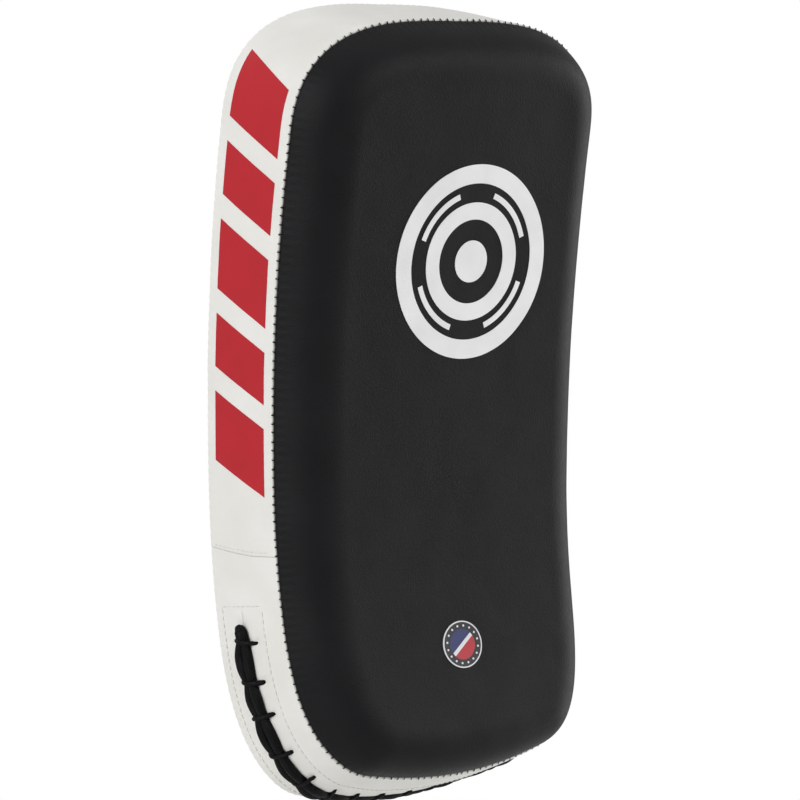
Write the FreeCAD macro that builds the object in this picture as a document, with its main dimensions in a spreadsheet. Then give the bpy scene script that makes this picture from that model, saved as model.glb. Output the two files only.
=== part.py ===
import FreeCAD, Part
import math
import os

import Sketcher
from FreeCAD import Placement, Rotation, Vector

# Curved kick pad: a laced leather cover over foam slabs, with a forearm cushion, two straps and a hand grip.
#
# The frame, in millimetres: +Z runs along the pad towards the grip end, -Y is the side that takes the kicks
# and +Y the side that lies on the forearm. The origin is the middle of the forearm cushion's face, half way
# between the straps. The pad bends forward at both ends: its back face is two tangent arcs that meet at
# z = 0, tighter below than above, and the layers in front of it bend a little more. "Depth" is measured
# from the back face forwards, and a place "along" the pad is measured on the back face from z = 0.

SIZES = [
    # the padded body
    ("pad_width", 197, "body, across"),
    ("upper_length", 239, "back face, along it from z = 0 to the grip end"),
    ("lower_length", 161, "back face, along it from z = 0 to the laced end"),
    ("pad_depth", 69, "body, from the back cover to the striking face"),
    ("band_depth", 48, "side band, from the back cover to the front seam"),
    ("back_bend_upper", 0.81, "curvature of the back face above z = 0, in 1/m"),
    ("back_bend_lower", 1.78, "curvature of the back face below z = 0, in 1/m"),
    ("seam_bend_upper", 0.98, "curvature at the front seam above z = 0, in 1/m"),
    ("seam_bend_lower", 2.20, "curvature at the front seam below z = 0, in 1/m"),
    ("top_corner", 56, "grip end, corner radius"),
    ("top_rise", 59, "grip end, height of its arch"),
    ("base_corner", 66, "laced end, corner radius"),
    ("base_rise", 72, "laced end, height of its arch"),
    ("front_round", 20, "rounding of the striking face's edge"),
    ("foam_round", 24, "rounding of the impact foam's edge"),
    ("leather", 1.5, "thickness of the cover leather"),
    ("gap", 0.3, "room left between two layers"),
    ("board_depth", 3, "polyethylene back board"),
    ("board_inset", 7.5, "back board, in from the outside"),
    ("support_front", 20, "depth at which the support foam ends"),
    ("shock_front", 38, "depth at which the shock foam ends"),
    # the lacing round the lower end
    ("band_joint", 29, "distance below z = 0 of the joint between the two side bands"),
    ("slit_top", 58, "distance below z = 0 of the lacing slit's upper end"),
    ("slit_width", 4, "lacing slit, open width"),
    ("slit_depth", 20, "depth at which the middle of the slit lies"),
    ("facing_width", 30, "facing behind the slit, width"),
    ("facing_depth", 1.2, "facing behind the slit, thickness"),
    ("facing_overlap", 6, "facing, beyond the slit's upper end"),
    ("lace_top", 66, "distance below z = 0 of the lace's upper end"),
    ("lace_width", 12, "lace, over both strands"),
    ("lace_depth", 4, "lace thickness"),
    # the transfers
    ("film", 0.4, "transfer film thickness"),
    ("film_gap", 0.1, "room left under a transfer film"),
    ("target_radius", 52, "target transfer, radius"),
    ("target_height", 112, "target transfer, height of its middle"),
    ("badge_radius", 13.4, "badge transfer, radius"),
    ("badge_height", -77, "badge transfer, height of its middle"),
    ("target_offset", 4, "target transfer, off the pad's middle"),
    ("stripe_width", 38, "side stripe transfer, width"),
    ("stripe_depth", 23, "depth at which the middle of the stripe lies"),
    ("stripe_top", 214, "side stripe, height of its upper end"),
    ("stripe_base", 1, "side stripe, height of its lower end"),
    # the forearm cushion
    ("cushion_width", 92, "cushion, across"),
    ("cushion_half", 94, "cushion, along the pad from its middle to either end"),
    ("cushion_depth", 12, "cushion thickness"),
    ("cushion_corner", 20, "cushion, corner radius"),
    ("cushion_rise", 21, "cushion, height of its end arches"),
    ("cushion_round", 7, "cushion, rounding of its face's edge"),
    ("cushion_skin", 1.2, "cushion cover thickness"),
    # the forearm straps
    ("strap_station", 55, "each strap, distance along the pad from z = 0"),
    ("strap_width", 40, "strap width"),
    ("strap_depth", 2.5, "strap thickness"),
    ("strap_reach", 88, "fixed ends of strap and anchor, off the pad's middle"),
    ("strap_turn", 10, "strap, bend where it leaves the back cover"),
    ("arch_radius", 50, "strap's arch over the forearm, to the middle of its thickness"),
    ("fold_radius", 5.25, "strap's fold round the ring, to the middle of its thickness"),
    ("tab_turn", 12, "tab, bend where it comes off the fold"),
    ("tab_end", 108, "angle on the arch at which the tab ends, in degrees"),
    ("patch_start", 30, "angle on the arch at which the hook and loop patches start, in degrees"),
    ("patch_end", 98, "angle on the arch at which the hook and loop patches end, in degrees"),
    ("patch_depth", 1.6, "hook patch and loop patch, thickness"),
    ("patch_margin", 2, "hook patch and loop patch, in from the strap's edges"),
    ("anchor_fold", 4.25, "anchor's fold round the ring, to the middle of its thickness"),
    ("anchor_drop", 8, "anchor's two bends down to its lower leg"),
    ("ring_wire", 3.5, "ring wire diameter"),
    ("ring_pitch", 14, "ring, between its two long bars"),
    ("ring_slot", 42, "ring, inner length"),
    ("ring_corner", 4, "ring, corner radius to the middle of the wire"),
    # the hand grip
    ("grip_station", 172, "grip, distance along the pad from z = 0"),
    ("grip_height", 34, "grip, middle of the tube above the back cover"),
    ("grip_length", 92, "grip tube length"),
    ("grip_radius", 14, "grip tube radius"),
    ("grip_skin", 1.2, "grip sleeve thickness"),
    ("grip_reach", 90, "ends of the grip webbing, off the pad's middle"),
    ("grip_web_width", 22, "grip webbing, width"),
    ("grip_bend", 8, "grip webbing, bends"),
    ("grip_slope", 75, "slope of the grip webbing's legs, in degrees"),
    ("grip_patch_length", 22, "grip anchor patch, across the pad"),
    ("grip_patch_width", 36, "grip anchor patch, along the pad"),
    ("grip_patch_middle", 80, "grip anchor patch and its rivets, off the pad's middle"),
    # the rivets
    ("rivet_shank", 4, "rivet shank diameter"),
    ("rivet_head", 9, "rivet head diameter"),
    ("rivet_dome", 2, "rivet head height"),
    ("rivet_slack", 0.2, "room left round a rivet shank"),
    ("rivet_peen", 6.4, "rivet's spread end, diameter"),
    ("washer_head", 10, "washer diameter"),
    ("washer_depth", 1, "washer thickness"),
    ("washer_pocket", 11, "pocket in the support foam for a washer, diameter"),
    ("strap_rivet", 78, "strap rivets, off the pad's middle"),
    ("strap_rivet_pitch", 20, "between the two rivets of a strap end"),
    ("grip_rivet_pitch", 12, "between the two rivets of a grip end"),
]

MARGIN = 30  # how far a cutting shape reaches past what it cuts
DEGREES = 180 / math.pi

doc = FreeCAD.newDocument("KickPad")
parts = {}


def make_sheet():
    made = doc.addObject("Spreadsheet::Sheet", "Sizes")
    for row, (alias, value, meaning) in enumerate(SIZES, start=1):
        made.set(f"A{row}", alias)
        made.set(f"B{row}", str(value))
        made.set(f"C{row}", meaning)
        made.setAlias(f"B{row}", alias)
    doc.recompute()
    return made


sheet = make_sheet()


class Size:
    """A size worked out from the sheet: its value, and the expression that binds a feature to it."""

    def __init__(self, value, text):
        self.value = float(value)
        self.text = text

    @staticmethod
    def of(other):
        return other if isinstance(other, Size) else Size(other, repr(float(other)))

    def __add__(self, other):
        other = Size.of(other)
        return Size(self.value + other.value, f"({self.text} + {other.text})")

    def __sub__(self, other):
        other = Size.of(other)
        return Size(self.value - other.value, f"({self.text} - {other.text})")

    def __mul__(self, other):
        other = Size.of(other)
        return Size(self.value * other.value, f"({self.text} * {other.text})")

    def __truediv__(self, other):
        other = Size.of(other)
        return Size(self.value / other.value, f"({self.text} / {other.text})")

    def __neg__(self):
        return Size(-self.value, f"(-{self.text})")


def size(alias):
    return Size(sheet.get(alias), f"Sizes.{alias}")


GAP = size("gap")
LEATHER = size("leather")
PAD_DEPTH = size("pad_depth")
BAND_DEPTH = size("band_depth")
BACK_Y = -size("cushion_depth")
FOAM_INSET = LEATHER + size("facing_depth") + GAP * 2


def add_part(thing, label):
    thing.Label = label
    parts[label] = thing
    return thing


# ---- the bent layers ----

class Outline:
    """Plan of a bent layer: its half width and, at each end, its length along the back face and its arch."""

    def __init__(self, half_width, upper, lower):
        self.half_width = half_width
        self.ends = {"upper": upper, "lower": lower}


PAD = Outline(
    size("pad_width") / 2,
    upper=(size("upper_length"), size("top_rise"), size("top_corner")),
    lower=(size("lower_length"), size("base_rise"), size("base_corner")),
)
CUSHION = Outline(
    size("cushion_width") / 2,
    upper=(size("cushion_half"), size("cushion_rise"), size("cushion_corner")),
    lower=(size("cushion_half"), size("cushion_rise"), size("cushion_corner")),
)
SIGN = {"upper": 1, "lower": -1}


def bend_radius(side, depth):
    """Radius of the surface at this depth, above ("upper") or below ("lower") z = 0."""
    back, seam = size(f"back_bend_{side}"), size(f"seam_bend_{side}")
    return Size.of(1000) / (back + (seam - back) * depth / BAND_DEPTH)


def back_point(along):
    """The back face's point this far along it: its y, its z and the angle the face has turned through."""
    side = "upper" if along >= 0 else "lower"
    radius = bend_radius(side, Size.of(0)).value
    angle = along / radius
    return BACK_Y.value - radius * (1 - math.cos(angle)), radius * math.sin(angle), angle


def station(along):
    """Placement of the frame on the back face there: x across, y out of the face, z along it."""
    y, z, angle = back_point(along)
    return Placement(Vector(0, y, z), Rotation(Vector(1, 0, 0), angle * DEGREES))


def end_crossing(side, depth, length, inset):
    """Where the surface at this depth meets the layer's end face, which is square to the back face."""
    y, z, angle = back_point(SIGN[side] * length)
    shift = SIGN[side] * inset
    start = Vector(0, y + shift * math.sin(angle), z - shift * math.cos(angle))
    inward = Vector(0, -math.cos(angle), -math.sin(angle))
    radius = bend_radius(side, depth).value
    from_centre = start - Vector(0, BACK_Y.value - depth.value - radius, 0)
    half_b = from_centre.dot(inward)
    reach = -half_b - math.sqrt(half_b ** 2 - from_centre.dot(from_centre) + radius ** 2)
    crossing = start + inward * reach
    return crossing.y, crossing.z


def origin_plane(body, role):
    return next(feature for feature in body.Origin.OriginFeatures if feature.Role == role)


def new_sketch(body, role, name, offset=Placement()):
    sketch = body.newObject("Sketcher::SketchObject", name)
    sketch.AttachmentSupport = [(origin_plane(body, role), "")]
    sketch.MapMode = "FlatFace"
    sketch.AttachmentOffset = offset
    return sketch


def constrain(sketch, kind, *where, to=None):
    """Adds a constraint, bound to the sheet where `to` is a size worked out from it."""
    if to is None:
        sketch.addConstraint(Sketcher.Constraint(kind, *where))
        return
    index = sketch.addConstraint(Sketcher.Constraint(kind, *where, Size.of(to).value))
    if isinstance(to, Size):
        sketch.setExpression(f"Constraints[{index}]", to.text)


def add_line(sketch, start, end):
    return sketch.addGeometry(Part.LineSegment(Vector(*start, 0), Vector(*end, 0)), False)


def add_arc(sketch, centre, start, end):
    """The shorter arc from start to end: its number, and which of its ends lie at start and at end."""
    centre = Vector(*centre, 0)
    first, last = (math.atan2(p[1] - centre.y, p[0] - centre.x) for p in (start, end))
    last -= 2 * math.pi * round((last - first) / (2 * math.pi))
    radius = math.hypot(start[0] - centre.x, start[1] - centre.y)
    circle = Part.Circle(centre, Vector(0, 0, 1), radius)
    number = sketch.addGeometry(Part.ArcOfCircle(circle, min(first, last), max(first, last)), False)
    return number, ((1, 2) if last > first else (2, 1))


def add_pad(body, sketch, length):
    pad = body.newObject("PartDesign::Pad", body.Name + "_pad")
    pad.Profile = sketch
    pad.Midplane = True
    pad.setExpression("Length", length.text)
    doc.recompute()


def layer_profile(body, near, far, inset, outline):
    """Side view of a layer between two depths: two arcs in front, two behind and a line at each end."""
    sketch = new_sketch(body, "YZ_Plane", body.Name + "_side_view")
    corners, arcs = {}, {}
    for depth in (near, far):
        for side in ("upper", "lower"):
            length = outline.ends[side][0].value
            corner = end_crossing(side, depth, length, inset.value)
            radius = bend_radius(side, depth)
            middle = (BACK_Y.value - depth.value, 0)
            centre = (middle[0] - radius.value, 0)
            arc, ends = add_arc(sketch, centre, middle, corner)
            constrain(sketch, "Radius", arc, to=radius)
            constrain(sketch, "PointOnObject", arc, 3, -1)
            corners[depth, side] = corner
            arcs[depth, side] = (arc, *ends)
        upper, lower = arcs[depth, "upper"], arcs[depth, "lower"]
        constrain(sketch, "Coincident", upper[0], upper[1], lower[0], lower[1])
        constrain(sketch, "PointOnObject", upper[0], upper[1], -1)
        constrain(sketch, "DistanceX", upper[0], upper[1], -1, 1, to=depth - BACK_Y)
    for side in ("upper", "lower"):
        line = add_line(sketch, corners[near, side], corners[far, side])
        for point, depth in ((1, near), (2, far)):
            arc, _, end = arcs[depth, side]
            constrain(sketch, "Coincident", line, point, arc, end)
    return sketch


def arch_points(half_width, rise, corner):
    """A three-centred arch, square to its foot at y = -rise, with its top at y = 0: the corner arc's centre,
    the crown arc's centre, and where the two arcs meet."""
    reach = half_width - corner
    crown = (reach ** 2 + rise ** 2 - corner ** 2) / (2 * (rise - corner))
    across, up = reach / (crown - corner), (crown - rise) / (crown - corner)
    return (reach, -rise), (0, -crown), (reach + corner * across, -rise + corner * up)


def trim_end(body, side, inset, outline):
    """Cuts away what lies outside the layer's sides and its end's arch, square to the end of the back face."""
    length, rise, corner = outline.ends[side]
    sign = SIGN[side]
    y, z, angle = back_point(sign * length.value)
    along = Vector(0, math.cos(angle), math.sin(angle)) * sign
    offset = Placement(Vector(0, z, -y) - along * inset.value, Rotation(Vector(1, 0, 0), angle * DEGREES))
    sketch = new_sketch(body, "XZ_Plane", body.Name + f"_{side}_outline", offset)

    half_width = (outline.half_width - inset).value
    foot = rise.value - inset.value
    points = arch_points(half_width, foot, (corner - inset).value)
    (corner_x, corner_y), (_, crown_y), (meet_x, meet_y) = [(x, sign * y) for x, y in points]
    shoulder, far_end = -sign * foot, -sign * (length.value + MARGIN / 2)
    outer, lid = outline.half_width.value + MARGIN, sign * MARGIN
    corners = [(-half_width, shoulder), (-half_width, far_end), (-outer, far_end), (-outer, lid),
               (outer, lid), (outer, far_end), (half_width, far_end), (half_width, shoulder)]
    lines = [add_line(sketch, a, b) for a, b in zip(corners, corners[1:])]
    for first, second in zip(lines, lines[1:]):
        constrain(sketch, "Coincident", first, 2, second, 1)
    arcs = [
        add_arc(sketch, (corner_x, corner_y), (half_width, shoulder), (meet_x, meet_y)),
        add_arc(sketch, (0, crown_y), (meet_x, meet_y), (-meet_x, meet_y)),
        add_arc(sketch, (-corner_x, corner_y), (-meet_x, meet_y), (-half_width, shoulder)),
    ]
    chain = [(lines[-1], (1, 2)), *arcs, (lines[0], (1, 2))]
    for (first, first_ends), (second, second_ends) in zip(chain, chain[1:]):
        constrain(sketch, "Tangent", first, first_ends[1], second, second_ends[0])
    for arc, _ in (arcs[0], arcs[2]):
        constrain(sketch, "Radius", arc, to=corner - inset)
    constrain(sketch, "Vertical", lines[0])
    constrain(sketch, "Vertical", lines[-1])
    constrain(sketch, "DistanceX", -1, 1, lines[-1], 2, to=outline.half_width - inset)
    constrain(sketch, "DistanceX", lines[0], 1, -1, 1, to=outline.half_width - inset)

    before = body.Shape.Volume
    pocket = body.newObject("PartDesign::Pocket", body.Name + f"_{side}_trim")
    pocket.Profile = sketch
    pocket.Type = "ThroughAll"
    pocket.Midplane = True
    doc.recompute()
    if body.Shape.Volume > before - 1:
        raise RuntimeError(f"{body.Name}: the {side} trim cut nothing")


def edges_at(shape, depth):
    """Names of the edges round the layer's face at this depth, without the line where its two arcs meet."""
    names = []
    for number, edge in enumerate(shape.Edges, start=1):
        first, last = edge.FirstParameter, edge.LastParameter
        on_face = True
        for share in (0.3, 0.5):
            point = edge.valueAt(first + share * (last - first))
            radius = bend_radius("upper" if point.z >= 0 else "lower", depth).value
            distance = math.hypot(point.y - (BACK_Y.value - depth.value - radius), point.z)
            on_face = on_face and abs(distance - radius) < 0.01
        if on_face and any(abs(vertex.Z) > 0.01 for vertex in edge.Vertexes):
            names.append(f"Edge{number}")
    return names


def layer(name, near, far, inset=0, outline=PAD, rounding=None, rounded=None):
    """A bent layer as a body: a slab between two depths, trimmed to the outline, with one face rounded."""
    near, far, inset = Size.of(near), Size.of(far), Size.of(inset)
    body = doc.addObject("PartDesign::Body", name)
    sketch = layer_profile(body, near, far, inset, outline)
    add_pad(body, sketch, outline.half_width * 2 + MARGIN)
    for side in ("upper", "lower"):
        trim_end(body, side, inset, outline)
    if rounding is not None:
        trimmed = body.Tip
        edges = edges_at(body.Shape, far if rounded is None else rounded)
        fillet = body.newObject("PartDesign::Fillet", name + "_edge")
        fillet.Base = (trimmed, edges)
        fillet.setExpression("Radius", Size.of(rounding).text)
        doc.recompute()
    return body


def boolean(kind, name, base, tool):
    made = doc.addObject(f"Part::{kind}", name)
    made.Base = base
    made.Tool = tool
    doc.recompute()
    return made


def bent_ring(name, near, far, inset, thickness):
    """A wall that follows the pad's outline all the way round, between two depths."""
    near, far, inset = Size.of(near), Size.of(far), Size.of(inset)
    outside = layer(name + "_outside", near, far, inset)
    inside = layer(name + "_inside", near - 1, far + 1, inset + thickness)
    return boolean("Cut", name + "_ring", outside, inside)


def block(name, x, y, z):
    """A box between the given lowest and highest x, y and z."""
    box = doc.addObject("Part::Box", name)
    for axis, lengthwise, (low, high) in (("x", "Length", x), ("y", "Width", y), ("z", "Height", z)):
        low, high = Size.of(low), Size.of(high)
        box.setExpression(lengthwise, (high - low).text)
        box.setExpression(f"Placement.Base.{axis}", low.text)
    doc.recompute()
    return box


def below(name, height):
    """Everything below this height."""
    return block(name, (-200, 200), (-200, 200), (-300, height))


# ---- flat pieces bent from strip, and turned pieces ----

class Strip:
    """Outline of a bent strip seen from its edge, walked forward from a point: runs and bends, left is up."""

    def __init__(self, name, start, heading, thickness):
        self.body = doc.addObject("PartDesign::Body", name)
        self.sketch = new_sketch(self.body, "XY_Plane", name + "_edge_view")
        self.point = Vector(*start, 0)
        self.heading = math.radians(heading)
        self.half = thickness / 2
        self.sides = {1: [], -1: []}

    def ahead(self, turn=0.0):
        angle = self.heading + turn
        return Vector(math.cos(angle), math.sin(angle), 0)

    def edge_point(self, side):
        offset = self.ahead(side * math.pi / 2) * self.half.value
        return (self.point.x + offset.x, self.point.y + offset.y)

    def run(self, length):
        starts = {side: self.edge_point(side) for side in self.sides}
        self.point = self.point + self.ahead() * length
        for side, start in starts.items():
            self.sides[side].append((add_line(self.sketch, start, self.edge_point(side)), (1, 2)))

    def bend(self, radius, degrees):
        """Bends to the left, or to the right where degrees is negative. The radius is to the middle."""
        if abs(degrees) > 120:
            self.bend(radius, degrees / 2)
            self.bend(radius, degrees / 2)
            return
        radius = Size.of(radius)
        turn, side_in = math.radians(degrees), (1 if degrees > 0 else -1)
        centre = self.point + self.ahead(side_in * math.pi / 2) * radius.value
        starts = {side: self.edge_point(side) for side in self.sides}
        self.point = centre + Rotation(Vector(0, 0, 1), degrees).multVec(self.point - centre)
        self.heading += turn
        for side, start in starts.items():
            edge = add_arc(self.sketch, (centre.x, centre.y), start, self.edge_point(side))
            edge_radius = radius - self.half if side == side_in else radius + self.half
            constrain(self.sketch, "Radius", edge[0], to=edge_radius)
            self.sides[side].append(edge)

    def finish(self, width):
        for edges in self.sides.values():
            for (first, first_ends), (second, second_ends) in zip(edges, edges[1:]):
                constrain(self.sketch, "Coincident", first, first_ends[1], second, second_ends[0])
        for place, end in ((0, 0), (-1, 1)):
            (left, left_ends), (right, right_ends) = (self.sides[side][place] for side in (1, -1))
            points = [self.sketch.getPoint(left, left_ends[end]), self.sketch.getPoint(right, right_ends[end])]
            cap = add_line(self.sketch, *((p.x, p.y) for p in points))
            constrain(self.sketch, "Coincident", cap, 1, left, left_ends[end])
            constrain(self.sketch, "Coincident", cap, 2, right, right_ends[end])
        add_pad(self.body, self.sketch, width)
        return self.body


def tube(name, outer, inner, length):
    """A round tube along x, centred on the origin."""
    body = doc.addObject("PartDesign::Body", name)
    sketch = new_sketch(body, "YZ_Plane", name + "_section")
    for radius in (outer, inner):
        circle = sketch.addGeometry(Part.Circle(Vector(), Vector(0, 0, 1), radius.value), False)
        constrain(sketch, "Coincident", circle, 3, -1, 1)
        constrain(sketch, "Radius", circle, to=radius)
    add_pad(body, sketch, length)
    return body


def turned(name, profile):
    """A solid of revolution about y, from an outline of (radius, y) corners given as sizes."""
    body = doc.addObject("PartDesign::Body", name)
    sketch = new_sketch(body, "XY_Plane", name + "_half_section")
    corners = [(Size.of(r), Size.of(y)) for r, y in profile]
    pairs = list(zip(corners, corners[1:] + corners[:1]))
    lines = [add_line(sketch, (a[0].value, a[1].value), (b[0].value, b[1].value)) for a, b in pairs]
    for number, (line, (radius, height)) in enumerate(zip(lines, corners)):
        constrain(sketch, "Coincident", lines[number - 1], 2, line, 1)
        if radius.value > 0:
            constrain(sketch, "DistanceX", -1, 1, line, 1, to=radius)
        else:
            constrain(sketch, "PointOnObject", line, 1, -2)
        constrain(sketch, "DistanceY", -1, 1, line, 1, to=height)
    revolution = body.newObject("PartDesign::Revolution", name + "_turned")
    revolution.Profile = sketch
    revolution.ReferenceAxis = (sketch, ["V_Axis"])
    revolution.Angle = 360
    doc.recompute()
    return body


def copies(label, master, places):
    """One group of separate solids: a copy of the master piece at each place."""
    group = doc.addObject("Part::Feature", label + "_group")
    shapes = []
    for place in places:
        shape = master.Shape.copy()
        shape.Placement = place
        shapes.append(shape)
    group.Shape = Part.makeCompound(shapes)
    return add_part(group, label)


def rivet_places(along, middle, pitch, sides=(-1, 1)):
    """Places of a strap's rivets, on the back face: two at each end, side by side along the pad."""
    half = size(pitch).value / 2
    offsets = [Vector(side * size(middle).value, 0, z) for side in sides for z in (-half, half)]
    return [station(along) * Placement(offset, Rotation()) for offset in offsets]


STRAP_STATIONS = {"upper": size("strap_station").value, "lower": -size("strap_station").value}
STRAP_RIVETS = [
    place for along in STRAP_STATIONS.values() for place in rivet_places(along, "strap_rivet", "strap_rivet_pitch")
]
GRIP_RIVETS = rivet_places(size("grip_station").value, "grip_patch_middle", "grip_rivet_pitch")


def drill_set(name, radius, depth):
    """A round cutter at every rivet, from outside the back face down to this depth."""
    cylinder = doc.addObject("Part::Cylinder", name)
    cylinder.setExpression("Radius", radius.text)
    cylinder.setExpression("Height", (depth + MARGIN).text)
    doc.recompute()
    drop = Placement(Vector(0, MARGIN, 0), Rotation(Vector(1, 0, 0), 90))
    cutters = []
    for place in STRAP_RIVETS + GRIP_RIVETS:
        shape = cylinder.Shape.copy()
        shape.Placement = place * drop
        cutters.append(shape)
    cutter_set = doc.addObject("Part::Feature", name + "_set")
    cutter_set.Shape = Part.makeCompound(cutters)
    return cutter_set


def build_drill():
    """The rivets' holes, and the pockets that their washers sink into."""
    board_far = LEATHER + GAP + size("board_depth")
    hole = drill_set("rivet_hole", size("rivet_shank") / 2 + size("rivet_slack"), board_far + 1)
    pocket_depth = washer_depths()[1] + size("washer_depth") + GAP
    return hole, drill_set("washer_pocket", size("washer_pocket") / 2, pocket_depth)


def drilled(label, blank, drill):
    return add_part(boolean("Cut", label + "_drilled", blank, drill), label)


# ---- the padded body ----

def build_cover(drill):
    outside = layer("front_cover_outside", BAND_DEPTH + GAP, PAD_DEPTH, rounding=size("front_round"))
    inside = layer("front_cover_inside", BAND_DEPTH - 1, PAD_DEPTH - LEATHER, LEATHER,
                   rounding=size("front_round") - LEATHER)
    add_part(boolean("Cut", "front_cover_shell", outside, inside), "front_cover")

    band = bent_ring("side_band", LEATHER + GAP, BAND_DEPTH, 0, LEATHER)
    joint = -size("band_joint")
    add_part(boolean("Cut", "side_band_upper_cut", band, below("below_joint", joint)), "side_band_upper")
    lower = boolean("Common", "side_band_lower_blank", band, below("below_joint_gap", joint - GAP))
    middle, half_slit = size("slit_depth"), size("slit_width") / 2
    slab = layer("slit_slab", middle - half_slit, middle + half_slit, -1)
    slit = boolean("Common", "slit", slab, below("below_slit_top", -size("slit_top")))
    add_part(boolean("Cut", "side_band_lower_cut", lower, slit), "side_band_lower")

    half_facing = size("facing_width") / 2
    facing = bent_ring("facing", middle - half_facing, middle + half_facing, LEATHER + GAP, size("facing_depth"))
    facing_top = below("below_facing_top", -size("slit_top") + size("facing_overlap"))
    add_part(boolean("Common", "lacing_facing_cut", facing, facing_top), "lacing_facing")

    half_lace = size("lace_width") / 2
    lace = bent_ring("lace", middle - half_lace, middle + half_lace, -(GAP + size("lace_depth")), size("lace_depth"))
    lace_top = below("below_lace_top", -size("lace_top"))
    add_part(boolean("Common", "closure_lace_cut", lace, lace_top), "closure_lace")

    drilled("back_cover", layer("back_cover_blank", 0, LEATHER), drill)


def build_filling(drill, pockets):
    board_near = LEATHER + GAP
    board_far = board_near + size("board_depth")
    drilled("back_board", layer("back_board_blank", board_near, board_far, size("board_inset")), drill)
    support = layer("support_foam_blank", board_far + GAP, size("support_front"), FOAM_INSET)
    drilled("support_foam", support, pockets)
    shock = layer("shock_foam_body", size("support_front") + GAP, size("shock_front"), FOAM_INSET)
    add_part(shock, "shock_foam")
    impact = layer("impact_foam_body", size("shock_front") + GAP, PAD_DEPTH - LEATHER - GAP, FOAM_INSET,
                   rounding=size("foam_round"))
    add_part(impact, "impact_foam")


def build_transfers():
    """Printed films: a target and a round badge on the striking face, and a stripe on each side."""
    near = PAD_DEPTH + size("film_gap")
    film = layer("front_film", near, near + size("film"))
    for label, radius, offset, height in (
        ("target_print", size("target_radius"), size("target_offset"), size("target_height")),
        ("round_badge", size("badge_radius"), Size.of(0), size("badge_height")),
    ):
        punch = doc.addObject("Part::Cylinder", label + "_punch")
        punch.setExpression("Radius", radius.text)
        punch.Height = 200
        punch.Placement.Rotation = Rotation(Vector(1, 0, 0), 90)
        punch.setExpression("Placement.Base.x", offset.text)
        punch.setExpression("Placement.Base.z", height.text)
        add_part(boolean("Common", label + "_film", film, punch), label)

    half, middle = size("stripe_width") / 2, size("stripe_depth")
    inset = -(size("film_gap") + size("film"))
    ring = bent_ring("side_film", middle - half, middle + half, inset, size("film"))
    for label, x in (("side_stripe_left", (-200, 0)), ("side_stripe_right", (0, 200))):
        stretch = block(label + "_stretch", x, (-200, 200), (size("stripe_base"), size("stripe_top")))
        add_part(boolean("Common", label + "_film", ring, stretch), label)


def build_cushion():
    depth, skin, edge = size("cushion_depth"), size("cushion_skin"), size("cushion_round")
    outside = layer("cushion_outside", -depth, -GAP, 0, CUSHION, edge, rounded=-depth)
    inside = layer("cushion_inside", skin - depth, 1, skin, CUSHION, edge - skin, rounded=skin - depth)
    add_part(boolean("Cut", "cushion_shell", outside, inside), "forearm_cushion_cover")
    near, inset = skin + GAP - depth, skin + GAP
    foam = layer("cushion_filling", near, -GAP, inset, CUSHION, edge - inset, rounded=near)
    add_part(foam, "forearm_cushion_foam")


# ---- the forearm straps ----

def strap_band(name):
    """Up from the left, over the forearm, then down and round the ring on the right."""
    strap = size("strap_depth")
    arch, turn, fold = (size(alias) for alias in ("arch_radius", "strap_turn", "fold_radius"))
    low = GAP + strap / 2
    reach = size("strap_reach")
    band = Strip(name, (-reach.value, low.value), 0, strap)
    band.run((reach - arch - turn).value)
    band.bend(turn, 90)
    band.run(upper_bar_height().value - (low + turn).value)
    band.bend(arch, -180)
    band.bend(fold, 180)
    return band.finish(size("strap_width"))


def lower_bar_height():
    return GAP + size("strap_depth") / 2 + size("anchor_fold")


def upper_bar_height():
    return lower_bar_height() + size("ring_pitch")


def bar_offset():
    return size("arch_radius") + size("fold_radius")


def tab_radius():
    """Radius of the tab where it lies over the hook patch, the loop patch and the strap."""
    return size("arch_radius") + size("strap_depth") + size("patch_depth") * 2 + GAP * 3


def strap_tab(name):
    """The strap's free end: from the fold it leans in, then lies along the arch."""
    start_x = size("arch_radius") + size("fold_radius") * 2
    turn = size("tab_turn")
    tab = Strip(name, (start_x.value, (upper_bar_height() + GAP).value), 90, size("strap_depth"))
    centres_apart = (start_x - turn).value
    lean = math.degrees(math.acos((tab_radius() - turn).value / centres_apart))
    tab.bend(turn, lean)
    tab.run(centres_apart * math.sin(math.radians(lean)))
    tab.bend(tab_radius(), size("tab_end").value - lean)
    return tab.finish(size("strap_width"))


def patch(name, inner_gap_radius):
    """A hook or loop patch: a strip that lies on the arch, at this radius to its inner face."""
    middle = inner_gap_radius + size("patch_depth") / 2
    first, last = size("patch_start").value, size("patch_end").value
    angle = math.radians(first)
    start = (middle.value * math.cos(angle), upper_bar_height().value + middle.value * math.sin(angle))
    strip = Strip(name, start, first + 90, size("patch_depth"))
    strip.bend(middle, last - first)
    return strip.finish(size("strap_width") - size("patch_margin") * 2)


def ring_anchor(name):
    """Webbing from the right edge in, round the ring's lower bar and back onto itself."""
    strap = size("strap_depth")
    fold, drop_bend = size("anchor_fold"), size("anchor_drop")
    low = GAP + strap / 2
    reach = size("strap_reach")
    anchor = Strip(name, (reach.value, low.value), 180, strap)
    anchor.run((reach - bar_offset()).value)
    anchor.bend(fold, -180)
    drop = (fold * 2 - strap - GAP).value
    lean = math.degrees(math.acos(1 - drop / (2 * drop_bend.value)))
    anchor.bend(drop_bend, -lean)
    anchor.bend(drop_bend, lean)
    anchor.run(reach.value - anchor.point.x)
    return anchor.finish(size("strap_width"))


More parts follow.
